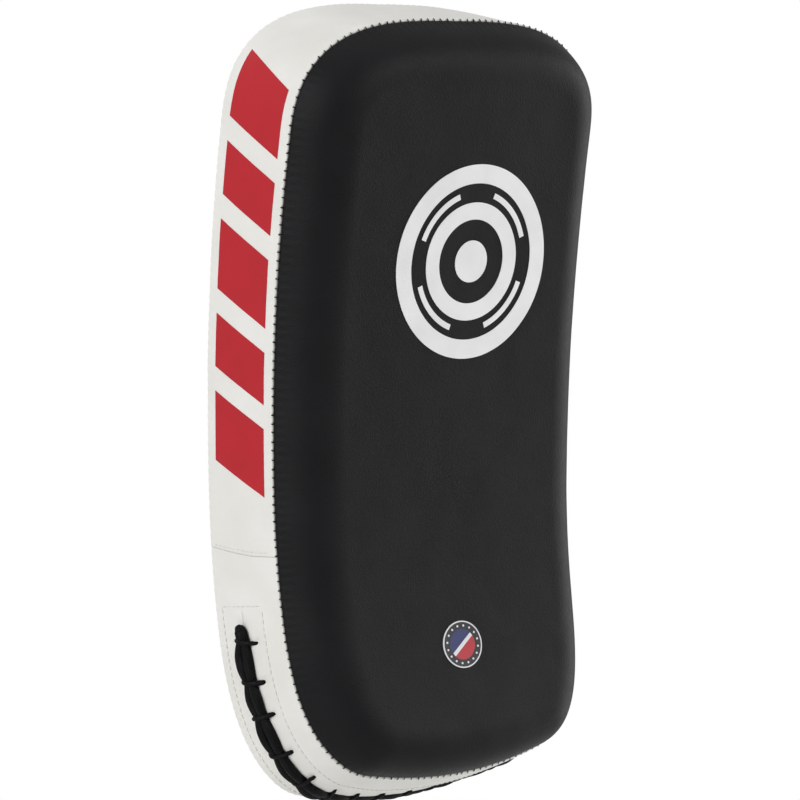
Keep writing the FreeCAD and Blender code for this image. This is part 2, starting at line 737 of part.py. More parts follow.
def wire_ring(name):
    """A rectangular ring of round wire: two long bars along z, at the lower and the upper bar height."""
    body = doc.addObject("PartDesign::Body", name)
    offset = Placement(Vector(0, 0, bar_offset().value), Rotation())
    path = new_sketch(body, "YZ_Plane", name + "_centre_line", offset)
    corner = size("ring_corner").value
    low, high = lower_bar_height().value, upper_bar_height().value
    half = (size("ring_slot") / 2 + size("ring_wire") / 2).value
    square = [(low, -half), (high, -half), (high, half), (low, half)]
    edges = []
    for number, point in enumerate(square):
        before, after = square[number - 1], square[(number + 1) % 4]
        enter = [p + corner * (b > p) - corner * (b < p) for p, b in zip(point, before)]
        leave = [p + corner * (a > p) - corner * (a < p) for p, a in zip(point, after)]
        centre = [e + l - p for e, l, p in zip(enter, leave, point)]
        following = [a + corner * (p > a) - corner * (p < a) for p, a in zip(point, after)]
        arc = add_arc(path, centre, enter, leave)
        constrain(path, "Radius", arc[0], to=size("ring_corner"))
        edges += [arc, (add_line(path, leave, following), (1, 2))]
    for (first, first_ends), (second, second_ends) in zip(edges, edges[1:] + edges[:1]):
        constrain(path, "Coincident", first, first_ends[1], second, second_ends[0])
    centre = Vector(bar_offset().value, low, 0)
    section = new_sketch(body, "XY_Plane", name + "_section")
    circle = section.addGeometry(Part.Circle(centre, Vector(0, 0, 1), size("ring_wire").value / 2), False)
    constrain(section, "Radius", circle, to=size("ring_wire") / 2)
    pipe = body.newObject("PartDesign::AdditivePipe", name + "_wire")
    pipe.Profile = section
    pipe.Spine = path
    doc.recompute()
    return body


def build_strap(end, drill):
    place = station(STRAP_STATIONS[end])
    loop_radius = size("arch_radius") + size("strap_depth") / 2 + GAP
    pieces = {
        "strap_band": strap_band(end + "_strap_band_blank"),
        "loop_patch": patch(end + "_loop_patch_body", loop_radius),
        "hook_patch": patch(end + "_hook_patch_body", loop_radius + size("patch_depth") + GAP),
        "strap_tab": strap_tab(end + "_strap_tab_body"),
        "ring_anchor": ring_anchor(end + "_ring_anchor_blank"),
        "ring": wire_ring(end + "_ring_body"),
    }
    for kind, piece in pieces.items():
        piece.Placement = place
    doc.recompute()
    for kind, piece in pieces.items():
        if kind in ("strap_band", "ring_anchor"):
            drilled(f"{end}_{kind}", piece, drill)
        else:
            add_part(piece, f"{end}_{kind}")


# ---- the hand grip ----

def grip_webbing(name):
    """Webbing that rises from the back cover on the left, runs through the grip and comes down on the right."""
    strap, turn, slope = size("strap_depth"), size("grip_bend"), size("grip_slope").value
    low = GAP + strap / 2
    rise = (size("grip_height") - low).value
    bends_rise = 2 * turn.value * (1 - math.cos(math.radians(slope)))
    leg = (rise - bends_rise) / math.sin(math.radians(slope))
    across = 2 * turn.value * math.sin(math.radians(slope)) + leg * math.cos(math.radians(slope))
    straight = size("grip_length") / 2 + strap / 2
    reach = size("grip_reach")
    flat = (reach - straight).value - across
    webbing = Strip(name, (-reach.value, low.value), 0, strap)
    webbing.run(flat)
    webbing.bend(turn, slope)
    webbing.run(leg)
    webbing.bend(turn, -slope)
    webbing.run((straight * 2).value)
    webbing.bend(turn, -slope)
    webbing.run(leg)
    webbing.bend(turn, slope)
    webbing.run(flat)
    return webbing.finish(size("grip_web_width"))


def build_grip(drill):
    place = station(size("grip_station").value)
    axis = place * Placement(Vector(0, size("grip_height").value, 0), Rotation())
    webbing = grip_webbing("grip_webbing_blank")
    webbing.Placement = place
    drilled("grip_webbing", webbing, drill)

    skin, outer = size("grip_skin"), size("grip_radius")
    sleeve = tube("grip_sleeve_body", outer, outer - skin, size("grip_length"))
    sleeve.Placement = axis
    add_part(sleeve, "grip_sleeve")

    core = doc.addObject("Part::Cylinder", "grip_foam_blank")
    core.setExpression("Radius", (outer - skin - GAP).text)
    core.setExpression("Height", (size("grip_length") - GAP * 2).text)
    doc.recompute()
    core.Placement = axis * Placement(Vector(-core.Height.Value / 2, 0, 0), Rotation(Vector(0, 1, 0), 90))
    half_slot, half_web = (size("strap_depth") / 2 + GAP).value, (size("grip_web_width") / 2 + GAP).value
    slot = block("grip_slot", (-MARGIN * 2, MARGIN * 2), (-half_slot, half_slot), (-half_web, half_web))
    for path in ("Placement.Base.x", "Placement.Base.y", "Placement.Base.z"):
        slot.setExpression(path, None)
    slot.Placement = axis * slot.Placement
    doc.recompute()
    add_part(boolean("Cut", "grip_foam_slotted", core, slot), "grip_foam")

    half_length, half_width = size("grip_patch_length") / 2, size("grip_patch_width") / 2
    base = GAP * 2 + size("strap_depth")
    for label, sign in (("grip_patch_left", -1), ("grip_patch_right", 1)):
        middle = size("grip_patch_middle") * sign
        plate = block(label + "_blank", (middle - half_length, middle + half_length), (base, base + LEATHER),
                      (-half_width, half_width))
        for path in ("Placement.Base.x", "Placement.Base.y", "Placement.Base.z"):
            plate.setExpression(path, None)
        plate.Placement = place * plate.Placement
        doc.recompute()
        drilled(label, plate, drill)


# ---- the rivets ----

def rivet(name, seat):
    """A domed rivet along y whose head sits at this height above the back face, spread out below its washer."""
    shank, head, peen = (size(alias) / 2 for alias in ("rivet_shank", "rivet_head", "rivet_peen"))
    washer_near, washer_far = washer_depths()
    crown = seat + size("rivet_dome")
    spread = washer_far + size("washer_depth")
    return turned(name, [
        (0, crown), (head * 0.5, crown - size("rivet_dome") * 0.15), (head * 0.85, crown - size("rivet_dome") * 0.5),
        (head, seat), (shank, seat), (shank, -washer_far), (peen, -washer_far), (peen * 0.8, -spread), (0, -spread),
    ])


def washer_depths():
    near = LEATHER + GAP + size("board_depth") + GAP * 2
    return near, near + size("washer_depth")


def build_rivets():
    strap = size("strap_depth")
    low = GAP + strap
    seats = {"strap_rivets": low, "anchor_rivets": low * 2, "grip_rivets": low + GAP + LEATHER}
    right = [place for place in STRAP_RIVETS if place.Base.x > 0]
    left = [place for place in STRAP_RIVETS if place.Base.x < 0]
    for label, places in (("strap_rivets", left), ("anchor_rivets", right), ("grip_rivets", GRIP_RIVETS)):
        copies(label, rivet(label + "_master", seats[label]), places)
    near, far = washer_depths()
    bore = size("rivet_shank") / 2 + size("rivet_slack") / 2
    edge = size("washer_head") / 2
    washer = turned("rivet_washer_master", [(bore, -near), (edge, -near), (edge, -far), (bore, -far)])
    copies("rivet_washers", washer, STRAP_RIVETS + GRIP_RIVETS)


# ---- checks and export ----

def check_all():
    for thing in doc.Objects:
        if any(state in ("Invalid", "Error") for state in thing.State):
            raise RuntimeError(f"{thing.Name} failed: {thing.State}")
    for label, thing in parts.items():
        shape = thing.Shape
        if shape.isNull() or not shape.isValid() or shape.Volume <= 0:
            raise RuntimeError(f"{label} has a bad shape")


def export_all():
    os.makedirs("parts", exist_ok=True)
    for label, thing in parts.items():
        thing.Shape.exportStep(f"parts/{label}.step")
        print(f"{label}: {len(thing.Shape.Solids)} solid(s), {thing.Shape.Volume / 1000:.2f} cm3")


def main():
    drill, pockets = build_drill()
    build_cover(drill)
    build_filling(drill, pockets)
    build_transfers()
    build_cushion()
    for end in STRAP_STATIONS:
        build_strap(end, drill)
    build_grip(drill)
    build_rivets()
    doc.recompute()
    check_all()
    export_all()


main()
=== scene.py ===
"""Looks of the curved kick pad: leather cover, seams, lace, transfers, forearm cushion, straps and grip.

Shapes are worked out in millimetres in the CAD frame (+Z along the pad to the grip end, -Y the striking
side, +Y the forearm side) and written to meshes in metres. "Along" is measured on the back face from z = 0,
"depth" from the back face forwards, and "out" from the pad's outline outwards.
"""
import math

import bmesh
import bpy
import numpy as np
from mathutils import Matrix, Vector, noise


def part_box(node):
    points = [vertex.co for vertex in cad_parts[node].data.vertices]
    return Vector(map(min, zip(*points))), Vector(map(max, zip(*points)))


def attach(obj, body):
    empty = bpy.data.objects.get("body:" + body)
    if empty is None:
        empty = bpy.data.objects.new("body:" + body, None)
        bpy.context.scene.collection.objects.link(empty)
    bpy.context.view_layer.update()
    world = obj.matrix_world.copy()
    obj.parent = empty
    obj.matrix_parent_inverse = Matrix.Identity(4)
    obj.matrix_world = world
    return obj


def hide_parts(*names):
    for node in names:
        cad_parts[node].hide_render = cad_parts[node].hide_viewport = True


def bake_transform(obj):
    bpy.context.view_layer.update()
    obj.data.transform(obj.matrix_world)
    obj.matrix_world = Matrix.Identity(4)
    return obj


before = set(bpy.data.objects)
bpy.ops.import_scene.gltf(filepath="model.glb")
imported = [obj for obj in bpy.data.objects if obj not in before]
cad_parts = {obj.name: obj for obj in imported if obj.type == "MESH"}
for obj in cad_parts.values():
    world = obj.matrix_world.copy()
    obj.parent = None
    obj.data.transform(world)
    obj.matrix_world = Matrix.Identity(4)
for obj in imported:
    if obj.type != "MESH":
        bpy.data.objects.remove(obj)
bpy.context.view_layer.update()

MM = 0.001
RNG = np.random.default_rng(7)

# ---- sizes of the body, in millimetres ----
UPPER, LOWER = 239.2, 160.8          # length of the back face above and below z = 0
WIDTH = 192.4                        # width at the ends, before bow and taper
TAPER, BOW = 0.055, 0.107
DEPTH, BAND = 69.2, 48.0             # body, and the side band up to the front seam
EDGE_ROUND = 27.2
BACK_BEND = (0.81e-3, 1.7775e-3)     # curvature above and below z = 0, in 1/mm
SEAM_BEND = (0.9775e-3, 2.2e-3)
TOP_CORNER = (94.8, 59.2, 2.64)      # half axes across and along, and exponent, of the corner curves
BASE_CORNER = (37.2, 104.8, 2.60)
TOP_CROWN, BASE_CROWN = -4.8, 18.0   # how far the ends' sides lie behind their middles
BACK_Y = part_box("back_cover")[1].y / MM
LEATHER = 1.5
SEAM_CURL = 0.9                      # radius at which the panels turn into a seam
JOINT = -30.0                        # height along the pad of the joint between the side bands
SLIT_DEPTH, SLIT_TOP = 20.0, -57.0   # lacing slit
JOINT_LEAN = 4.0                     # how much higher the joint runs at the back seam
STITCH_PITCH = 4.5
SEAM_SWELL, SEAM_SWELL_REACH = 1.5, 9.0  # the stuffing's push beside the front seam
LOWER_TUCK = 3.2                     # how far the front seam draws in at the lower end
SIDE_SWELL = 0.4                     # the push at the middle of the long sides
EDGE_FULL = 0.9                      # how much fuller the rounded edge is than a plain arc
OUTLINE_POINTS = 960

# ---- the surface ----


def arrays(*values):
    """The values as arrays of one shape."""
    return np.broadcast_arrays(*(np.asarray(v, float) for v in values))


def ease(t):
    """From 0 to 1, with a level start and end."""
    t = np.clip(t, 0, 1)
    return t * t * (3 - 2 * t)


def run_of(path):
    """Distance along a path to each of its points."""
    return np.r_[0, np.cumsum(np.linalg.norm(np.diff(path, axis=0), axis=1))]


def circle(count):
    """Angles of this many places round a circle."""
    return np.linspace(0, 2 * math.pi, count, endpoint=False)


def bend(x, along, depth):
    """Point of the bent body, as an array of rows x, y, z."""
    x, along, depth = arrays(x, along, depth)
    back = np.where(along >= 0, BACK_BEND[0], BACK_BEND[1])
    seam = np.where(along >= 0, SEAM_BEND[0], SEAM_BEND[1])
    angle = along * back
    extra = 0.5 * (seam - back / (1 - back * BAND)) * along ** 2
    depth = depth * (1 + extra / BAND)
    y = BACK_Y - (1 - np.cos(angle)) / back - depth * np.cos(angle)
    z = np.sin(angle) / back - depth * np.sin(angle)
    return np.stack([x, y, z], axis=-1)


def corner_curve(centre, half_axes, start, end):
    """A quarter of a super-ellipse, as x and along."""
    across, up, exponent = half_axes
    t = np.linspace(math.radians(start), math.radians(end), 240)
    cosine, sine = np.cos(t), np.sin(t)
    x = centre[0] + across * np.sign(cosine) * np.abs(cosine) ** (2 / exponent)
    return np.stack([x, centre[1] + up * np.sign(sine) * np.abs(sine) ** (2 / exponent)], axis=1)


def outline_points():
    """The pad's plan, from the middle of the lower end up the -X side, over the top and down the +X side."""
    half = WIDTH / 2
    base, top = BASE_CORNER, TOP_CORNER
    corners = [
        corner_curve((-half + base[0], -LOWER + base[1]), base, 270, 180),
        corner_curve((-half + top[0], UPPER - top[1]), top, 180, 90),
        corner_curve((half - top[0], UPPER - top[1]), top, 90, 0),
        corner_curve((half - base[0], -LOWER + base[1]), base, 0, -90),
    ]
    rough = np.vstack([[(0, -LOWER)], *corners, [(0, -LOWER)]])
    spans = [np.linspace(a, b, max(1, int(np.hypot(*(b - a)))), endpoint=False)
             for a, b in zip(rough, rough[1:])]
    x, along = np.vstack([*spans, rough[-1:]]).T
    u = (along - (UPPER - LOWER) / 2) / (UPPER + LOWER)
    sides = (x / half) ** 2 * np.clip((np.abs(u) - 0.25) / 0.25, 0, 1) ** 2
    drop = np.where(u > 0, TOP_CROWN, BASE_CROWN)
    return np.stack([x * (1 + TAPER * u + BOW * (0.25 - u ** 2)), along - np.sign(u) * drop * sides], axis=1)


class Outline:
    """The pad's plan by distance along it, from the middle of the lower end, clockwise seen from the front."""

    def __init__(self):
        rough = outline_points()
        rough = rough[np.r_[True, np.diff(run_of(rough)) > 1e-6]]
        distance = run_of(rough)
        self.length = distance[-1]
        self.s = np.linspace(0, self.length, OUTLINE_POINTS + 1)
        self.x = np.interp(self.s, distance, rough[:, 0])
        self.along = np.interp(self.s, distance, rough[:, 1])
        dx, dz = np.gradient(self.x), np.gradient(self.along)
        for values in (dx, dz):
            values[0] = values[-1] = (values[0] + values[-1]) / 2
        size = np.hypot(dx, dz)
        self.normal_x, self.normal_along = self.smooth(-dz / size), self.smooth(dx / size)

    @staticmethod
    def smooth(values, passes=12):
        ring = values[:-1]
        for _ in range(passes):
            ring = (np.roll(ring, 1) + 2 * ring + np.roll(ring, -1)) / 4
        return np.r_[ring, ring[0]]

    def at(self, s, out=0.0):
        """x and along of the plan moved outwards."""
        s = np.mod(s, self.length)
        nx, nz = np.interp(s, self.s, self.normal_x), np.interp(s, self.s, self.normal_along)
        return np.interp(s, self.s, self.x) + nx * out, np.interp(s, self.s, self.along) + nz * out

    def find(self, along, left):
        """Distance along the plan at which a side reaches this height."""
        half = OUTLINE_POINTS // 2
        if left:
            return float(np.interp(along, self.along[:half], self.s[:half]))
        return float(np.interp(along, self.along[half:][::-1], self.s[half:][::-1]))


PLAN = Outline()


def around(s, depth, out=0.0):
    """Point of the body at this distance along the plan, this depth and this far out."""
    s, depth, out = arrays(s, depth, out)
    return bend(*PLAN.at(s, out), depth)


def unit(vectors):
    return vectors / np.linalg.norm(vectors, axis=-1, keepdims=True)


def noise_at(points, scale, seed=0.0):
    """Smooth noise from -1 to 1 at each point, with features about this many millimetres across."""
    flat = points.reshape(-1, 3) / scale + seed
    values = np.fromiter((noise.noise(Vector(p)) for p in flat), float, len(flat))
    return values.reshape(points.shape[:-1])


# ---- meshes ----

def make_piece(name, points, faces, material, uv=None):
    """A smooth mesh object from points in millimetres."""
    name = f"{name}_skin"            # the CAD pieces keep the plain names
    mesh = bpy.data.meshes.new(name)
    mesh.from_pydata([tuple(p) for p in np.asarray(points).reshape(-1, 3) * MM], [], faces)
    if uv is not None:
        layer = mesh.uv_layers.new(name="UVMap")
        corners = np.empty(len(mesh.loops), int)
        mesh.loops.foreach_get("vertex_index", corners)
        layer.data.foreach_set("uv", np.asarray(uv, float).reshape(-1, 2)[corners].ravel())
    mesh.materials.append(material)
    mesh.shade_smooth()
    piece = bpy.data.objects.new(name, mesh)
    bpy.context.scene.collection.objects.link(piece)
    return piece


def grid_faces(rows, columns, wrap=False, start=0, flip=False):
    """Quads of a grid whose points run along its columns first. With wrap, the last column joins the first."""
    faces = []
    for row in range(rows - 1):
        for column in range(columns if wrap else columns - 1):
            after = (column + 1) % columns
            low, high = start + row * columns, start + (row + 1) * columns
            quad = (low + column, low + after, high + after, high + column)
            faces.append(quad[::-1] if flip else quad)
    return faces


def clean(piece, distance=0.01):
    """Merges points that lie together and turns all faces outwards."""
    made = bmesh.new()
    made.from_mesh(piece.data)
    bmesh.ops.remove_doubles(made, verts=made.verts, dist=distance * MM)
    bmesh.ops.dissolve_degenerate(made, edges=made.edges, dist=distance * MM)
    bmesh.ops.recalc_face_normals(made, faces=made.faces)
    made.to_mesh(piece.data)
    made.free()


def apply_modifiers(piece):
    evaluated = piece.evaluated_get(bpy.context.evaluated_depsgraph_get())
    mesh = bpy.data.meshes.new_from_object(evaluated)
    piece.modifiers.clear()
    piece.data = mesh
    mesh.shade_smooth()


def thicken(piece, thickness):
    """Turns a sheet into a closed shell, inwards from the side that shows."""
    solid = piece.modifiers.new("leather", "SOLIDIFY")
    solid.thickness = thickness * MM
    solid.offset = -1
    apply_modifiers(piece)


def join(name, pieces):
    """One object from several, with their materials."""
    for piece in pieces:
        piece.select_set(True)
    bpy.context.view_layer.objects.active = pieces[0]
    with bpy.context.temp_override(active_object=pieces[0], selected_editable_objects=pieces):
        bpy.ops.object.join()
    pieces[0].name = pieces[0].data.name = f"{name}_skin"
    pieces[0].select_set(False)
    return pieces[0]


def tube_faces(rows, count, closed=False):
    """Faces of a tube of rings: with flat ends, or closed round on itself."""
    faces, last = grid_faces(rows, count, wrap=True), (rows - 1) * count
    if closed:
        return faces + [(last + i, last + (i + 1) % count, (i + 1) % count, i) for i in range(count)]
    return faces + [tuple(range(count))[::-1], tuple(range(last, last + count))]


def sweep(path, section, closed=False, up=None):
    """Points, faces and texture places of a section swept along a path.

    The section's points are (sideways, up) pairs, or an array with a pair for each point of the path.
    `up` gives each point's upward direction.
    """
    path = np.asarray(path, float)
    if closed:
        tangent = unit(np.roll(path, -1, axis=0) - np.roll(path, 1, axis=0))
    else:
        tangent = unit(np.gradient(path, axis=0))
    if up is None:
        up = carried_up(tangent)
    up = unit(up - np.sum(up * tangent, axis=1, keepdims=True) * tangent)
    side = np.cross(tangent, up)
    section = np.broadcast_to(np.asarray(section, float), (len(path), *np.shape(section)[-2:]))
    points = path[:, None] + side[:, None] * section[..., :1] + up[:, None] * section[..., 1:]
    uv = np.stack(np.broadcast_arrays(run_of(path)[:, None], section[..., 0]), axis=-1) * MM
    return points.reshape(-1, 3), tube_faces(len(path), section.shape[1], closed), uv.reshape(-1, 2)


def carried_up(tangent):
    """An upward direction carried along a path with no twist."""
    first = np.cross(tangent[0], (0.3, 0.5, 0.8))
    ups = [first / np.linalg.norm(first)]
    for direction in tangent[1:]:
        up = ups[-1] - np.dot(ups[-1], direction) * direction
        ups.append(up / np.linalg.norm(up))
    return np.array(ups)


def ring_section(radius, count=12, flat=1.0):
    t = circle(count)
    return np.stack([radius * np.cos(t), radius * flat * np.sin(t)], axis=1)


def tapered(radii, count, flat=1.0):
    """A round section for each point of a path, each with its own radius."""
    return ring_section(1.0, count, flat)[None] * np.asarray(radii)[:, None, None]


def many(name, parts, material):
    """One mesh from many (points, faces, texture places)."""
    faces, start = [], 0
    for points, part_faces, _ in parts:
        faces += [tuple(i + start for i in face) for face in part_faces]
        start += len(points)
    points, _, places = zip(*parts)
    return make_piece(name, np.vstack(points), faces, material, np.vstack(places))


def lathe(profile, centre, axis, count=32):
    """A turned piece from (radius, height) pairs about an axis."""
    axis = unit(np.asarray(axis, float))
    side = unit(np.cross(axis, (0.31, 0.47, 0.83)))
    t = circle(count)
    spokes = np.cos(t)[:, None] * side + np.sin(t)[:, None] * np.cross(axis, side)
    profile = np.asarray(profile, float)
    points = np.asarray(centre, float) + profile[:, None, :1] * spokes + profile[:, None, 1:] * axis
    uv = np.stack(np.broadcast_arrays(t * profile[:, :1], profile[:, 1:]), axis=-1) * MM
    return points.reshape(-1, 3), tube_faces(len(profile), count), uv.reshape(-1, 2)


def stitches(path, normals, length=3.2, gap=1.0, radius=0.3, sink=0.35):
    """Thread for a row of stitches along a path on a surface with these outward normals."""
    path, normals = np.asarray(path, float), np.asarray(normals, float)
    distance = run_of(path)
    rise = np.array([-sink, 0.45 * radius, 0.8 * radius, 0.8 * radius, 0.45 * radius, -sink])
    parts = []
    for start in np.arange(gap / 2, distance[-1] - length, length + gap):
        t = start + length * np.array([0, 0.12, 0.35, 0.65, 0.88, 1])
        centre, normal = (np.stack([np.interp(t, distance, v[:, k]) for k in range(3)], axis=1)
                          for v in (path, normals))
        parts.append(sweep(centre + normal * rise[:, None], ring_section(radius, 6), up=normal))
    return parts


def facing_out(piece, centre):
    """Turns the faces of an open sheet away from a point."""
    mesh = piece.data
    outward = sum((f.center - Vector(centre) * MM).dot(f.normal) * f.area for f in mesh.polygons)
    if outward < 0:
        mesh.flip_normals()


# ---- materials ----

def tint(red, green, blue):
    """A colour in Blender's linear values from the usual 0 to 255."""
    parts = (v / 255 for v in (red, green, blue))
    return tuple(v / 12.92 if v <= 0.04045 else ((v + 0.055) / 1.055) ** 2.4 for v in parts)


MIX_FIRST, MIX_SECOND, MIX_RESULT = 6, 7, 2   # a colour mix node's sockets


class Look:
    """A material made from nodes. Pattern sizes are in millimetres."""

    def __init__(self, name, colour, roughness, specular=0.5, metallic=0.0, sheen=0.0):
        self.material = bpy.data.materials.new(name)
        self.material.use_nodes = True
        self.tree = self.material.node_tree
        self.shader = self.tree.nodes["Principled BSDF"]
        self.place = self.tree.nodes.new("ShaderNodeTexCoord")
        self.colour = (*colour, 1.0)
        self.normal = None
        for key, value in (("Base Color", self.colour), ("Roughness", roughness), ("Metallic", metallic),
                           ("Specular IOR Level", specular), ("Sheen Weight", sheen)):
            self.shader.inputs[key].default_value = value

    def node(self, kind, inputs=None, **settings):
        made = self.tree.nodes.new(kind)
        for key, value in settings.items():
            setattr(made, key, value)
        for key, value in (inputs or {}).items():
            if isinstance(value, bpy.types.NodeSocket):
                self.tree.links.new(value, made.inputs[key])
            else:
                made.inputs[key].default_value = value
        return made

    def where(self, stretch=(1, 1, 1), by="Object"):
        """Where a point is, with the pattern's size stretched along each axis."""
        scale = tuple(1 / v for v in stretch)
        mapping = self.node("ShaderNodeMapping", {"Vector": self.place.outputs[by], "Scale": scale})
        return mapping.outputs["Vector"]

    def clouds(self, size, detail=3.0, stretch=(1, 1, 1), by="Object"):
        made = self.node("ShaderNodeTexNoise", {
            "Vector": self.where(stretch, by), "Scale": 1 / (size * MM), "Detail": detail,
        })
        return made.outputs["Fac"]

    def cells(self, size, feature="F1", stretch=(1, 1, 1), by="Object"):
        made = self.node("ShaderNodeTexVoronoi", {
            "Vector": self.where(stretch, by), "Scale": 1 / (size * MM),
        }, feature=feature)
        return made.outputs["Distance"]

    def ribs(self, size, axis="X", by="UV", bend=0.0):
        made = self.node("ShaderNodeTexWave", {
            "Vector": self.where(by=by), "Scale": 0.314 / (size * MM), "Distortion": bend,
        }, wave_type="BANDS", bands_direction=axis)
        return made.outputs["Fac"]

    def math(self, operation, first, second):
        return self.node("ShaderNodeMath", {0: first, 1: second}, operation=operation).outputs[0]

    def spread(self, fac, low, high):
        made = self.node("ShaderNodeMapRange", {"Value": fac, "From Min": low, "From Max": high})
        return made.outputs["Result"]

    def relief(self, height, depth, strength=1.0):
        """Raises and lowers the surface by a pattern; depth is in millimetres."""
        inputs = {"Height": height, "Distance": depth * MM, "Strength": strength}
        if self.normal is not None:
            inputs["Normal"] = self.normal
        self.normal = self.node("ShaderNodeBump", inputs).outputs["Normal"]
        self.tree.links.new(self.normal, self.shader.inputs["Normal"])

    def shade(self, fac, colour):
        """Mixes another colour in by a pattern."""
        inputs = {"Factor": fac, MIX_FIRST: self.colour, MIX_SECOND: (*colour, 1.0)}
        self.colour = self.node("ShaderNodeMix", inputs, data_type="RGBA").outputs[MIX_RESULT]
        self.tree.links.new(self.colour, self.shader.inputs["Base Color"])

    def wear(self, fac, low, high):
        """Varies the roughness by a pattern."""
        made = self.node("ShaderNodeMapRange", {"Value": fac, "To Min": low, "To Max": high})
        self.tree.links.new(made.outputs["Result"], self.shader.inputs["Roughness"])


def leather(name, colour, second, roughness, grain=0.9, specular=0.5, depth=0.07):
    look = Look(name, colour, roughness, specular)
    look.shade(look.spread(look.clouds(28, 4), 0.35, 0.65), second)
    look.wear(look.clouds(3.0, 3), roughness - 0.05, roughness + 0.07)
    look.relief(look.clouds(16, 2), 0.5, 0.25)
    look.relief(look.cells(grain), depth, 0.55)
    look.relief(look.clouds(grain * 0.35, 4), depth * 0.5, 0.5)
    return look.material


def foam(name, colour, cell):
    look = Look(name, colour, 0.9, 0.2)
    look.shade(look.spread(look.cells(cell), 0.0, 0.5), tuple(v * 0.7 for v in colour))
    look.relief(look.cells(cell), 0.3, 0.6)
    return look.material


def woven(name, colour, second, rib, roughness=0.75):
    """Webbing: ribs across it, each broken up into threads."""
    look = Look(name, colour, roughness, 0.3, sheen=0.25)
    weave = look.math("MULTIPLY", look.ribs(rib, "X"), look.ribs(rib * 0.8, "Y"))
    look.shade(look.spread(weave, 0.0, 0.8), second)
    look.relief(weave, 0.25, 0.8)
    look.relief(look.clouds(0.25, 3, by="UV"), 0.04, 0.5)
    return look.material


def printed(name, colour, roughness=0.42):
    """A transfer: smooth ink that takes a little of the leather's grain."""
    look = Look(name, colour, roughness, 0.45)
    look.shade(look.spread(look.clouds(22, 3), 0.4, 0.7), tuple(v * 0.93 for v in colour))
    look.relief(look.cells(0.8), 0.025, 0.5)
    return look.material


BLACK_LEATHER = leather("black_leather", tint(22, 22, 24), tint(26, 26, 28), 0.50, 1.0, 0.12, 0.13)
BACK_LEATHER = leather("back_leather", tint(36, 36, 38), tint(41, 41, 42), 0.58, 1.1)
STRAP_LEATHER = leather("strap_leather", tint(32, 32, 34), tint(38, 38, 40), 0.52, 0.8)
WHITE_LEATHER = leather("white_leather", tint(232, 231, 227), tint(226, 225, 220), 0.46, 0.6, 0.45, 0.03)
FACING_LEATHER = leather("facing_leather", tint(214, 212, 206), tint(206, 204, 198), 0.55, 0.7)
WEBBING = woven("webbing", tint(22, 22, 24), tint(48, 48, 50), 1.3)
SOFT_FOAM = foam("soft_foam", tint(222, 214, 190), 1.4)
FIRM_FOAM = foam("firm_foam", tint(96, 98, 104), 1.0)
DENSE_FOAM = foam("dense_foam", tint(44, 45, 50), 0.7)
WHITE_PRINT = printed("white_print", tint(246, 246, 246))
RED_PRINT = printed("red_print", tint(184, 20, 34))
BADGE_BLACK = printed("badge_black", tint(24, 24, 30), 0.35)
BADGE_BLUE = printed("badge_blue", tint(38, 46, 104), 0.35)
BADGE_RED = printed("badge_red", tint(186, 38, 52), 0.35)
BADGE_WHITE = printed("badge_white", tint(232, 232, 236), 0.35)


def lace_look():
    look = Look("black_lace", tint(9, 9, 10), 0.65, 0.12)
    streaks = look.clouds(0.7, 3, stretch=(14, 1, 1), by="UV")
    look.shade(look.spread(streaks, 0.5, 0.75), tint(30, 30, 33))
    look.relief(look.ribs(0.9, "DIAGONAL", bend=1.5), 0.2, 0.6)
    look.relief(streaks, 0.2, 0.6)
    return look.material


def thread_look(name, colour):
    look = Look(name, colour, 0.5, 0.4)
    look.relief(look.ribs(0.35, "DIAGONAL"), 0.08, 0.6)
    return look.material


def fuzzy_look(name, colour, second, size):
    look = Look(name, colour, 0.95, 0.15, sheen=0.6)
    tufts = look.clouds(size, 5)
    look.shade(look.spread(tufts, 0.4, 0.7), second)
    look.relief(tufts, 0.6, 1.0)
    look.relief(look.cells(size * 0.8), 0.3, 0.8)
    return look.material


def steel_look():
    look = Look("steel", tint(196, 197, 200), 0.24, 0.5, metallic=1.0)
    look.wear(look.clouds(4, 4), 0.18, 0.34)
    look.relief(look.clouds(1.5, 3), 0.02, 0.3)
    return look.material


def board_look():
    look = Look("board", tint(176, 168, 150), 0.6, 0.4)
    look.shade(look.spread(look.clouds(6, 5, stretch=(1, 1, 6)), 0.4, 0.7), tint(150, 142, 124))
    look.relief(look.clouds(0.8, 3), 0.05, 0.5)
    return look.material


BLACK_LACE = lace_look()
BLACK_THREAD = thread_look("black_thread", tint(12, 12, 13))
WHITE_THREAD = thread_look("white_thread", tint(222, 221, 214))
GREY_THREAD = thread_look("grey_thread", tint(66, 66, 69))
LOOP_PILE = fuzzy_look("loop_pile", tint(26, 26, 28), tint(60, 60, 62), 0.7)
HOOK_TAPE = fuzzy_look("hook_tape", tint(20, 20, 22), tint(54, 54, 56), 0.45)
STEEL = steel_look()
BOARD = board_look()

# ---- the cover ----
CENTRE = (0, -45, 40)                # a point inside the body
PUCKER = 0.22
EDGE_RUN = EDGE_ROUND * math.pi / 2 - 6   # how much of the rounded edge is fuller than a plain arc
CLOSING_RINGS = 24                   # rings that close a panel on its spine
HALF = PLAN.length / 2


def face_wave(x, along):
    """How far the taut front face lies from its plain shape."""
    points = np.stack(arrays(x, 31.0, along), axis=-1)
    return 0.45 * noise_at(points, 60.0) + 0.12 * noise_at(points, 17.0, 5.0)


def face_point(x, along, lift=0.0):
    return bend(x, along, DEPTH + face_wave(x, along) + lift)


def pucker(s, distance):
    """The small gathers that a seam's stitches pull into the leather."""
    return PUCKER * np.cos(2 * math.pi * s / STITCH_PITCH) * np.exp(-distance / 3.0)


def spine(along, room=100.0):
    """The line on which a panel's rings close, by height."""
    return np.clip(along, -LOWER + room, UPPER - room)


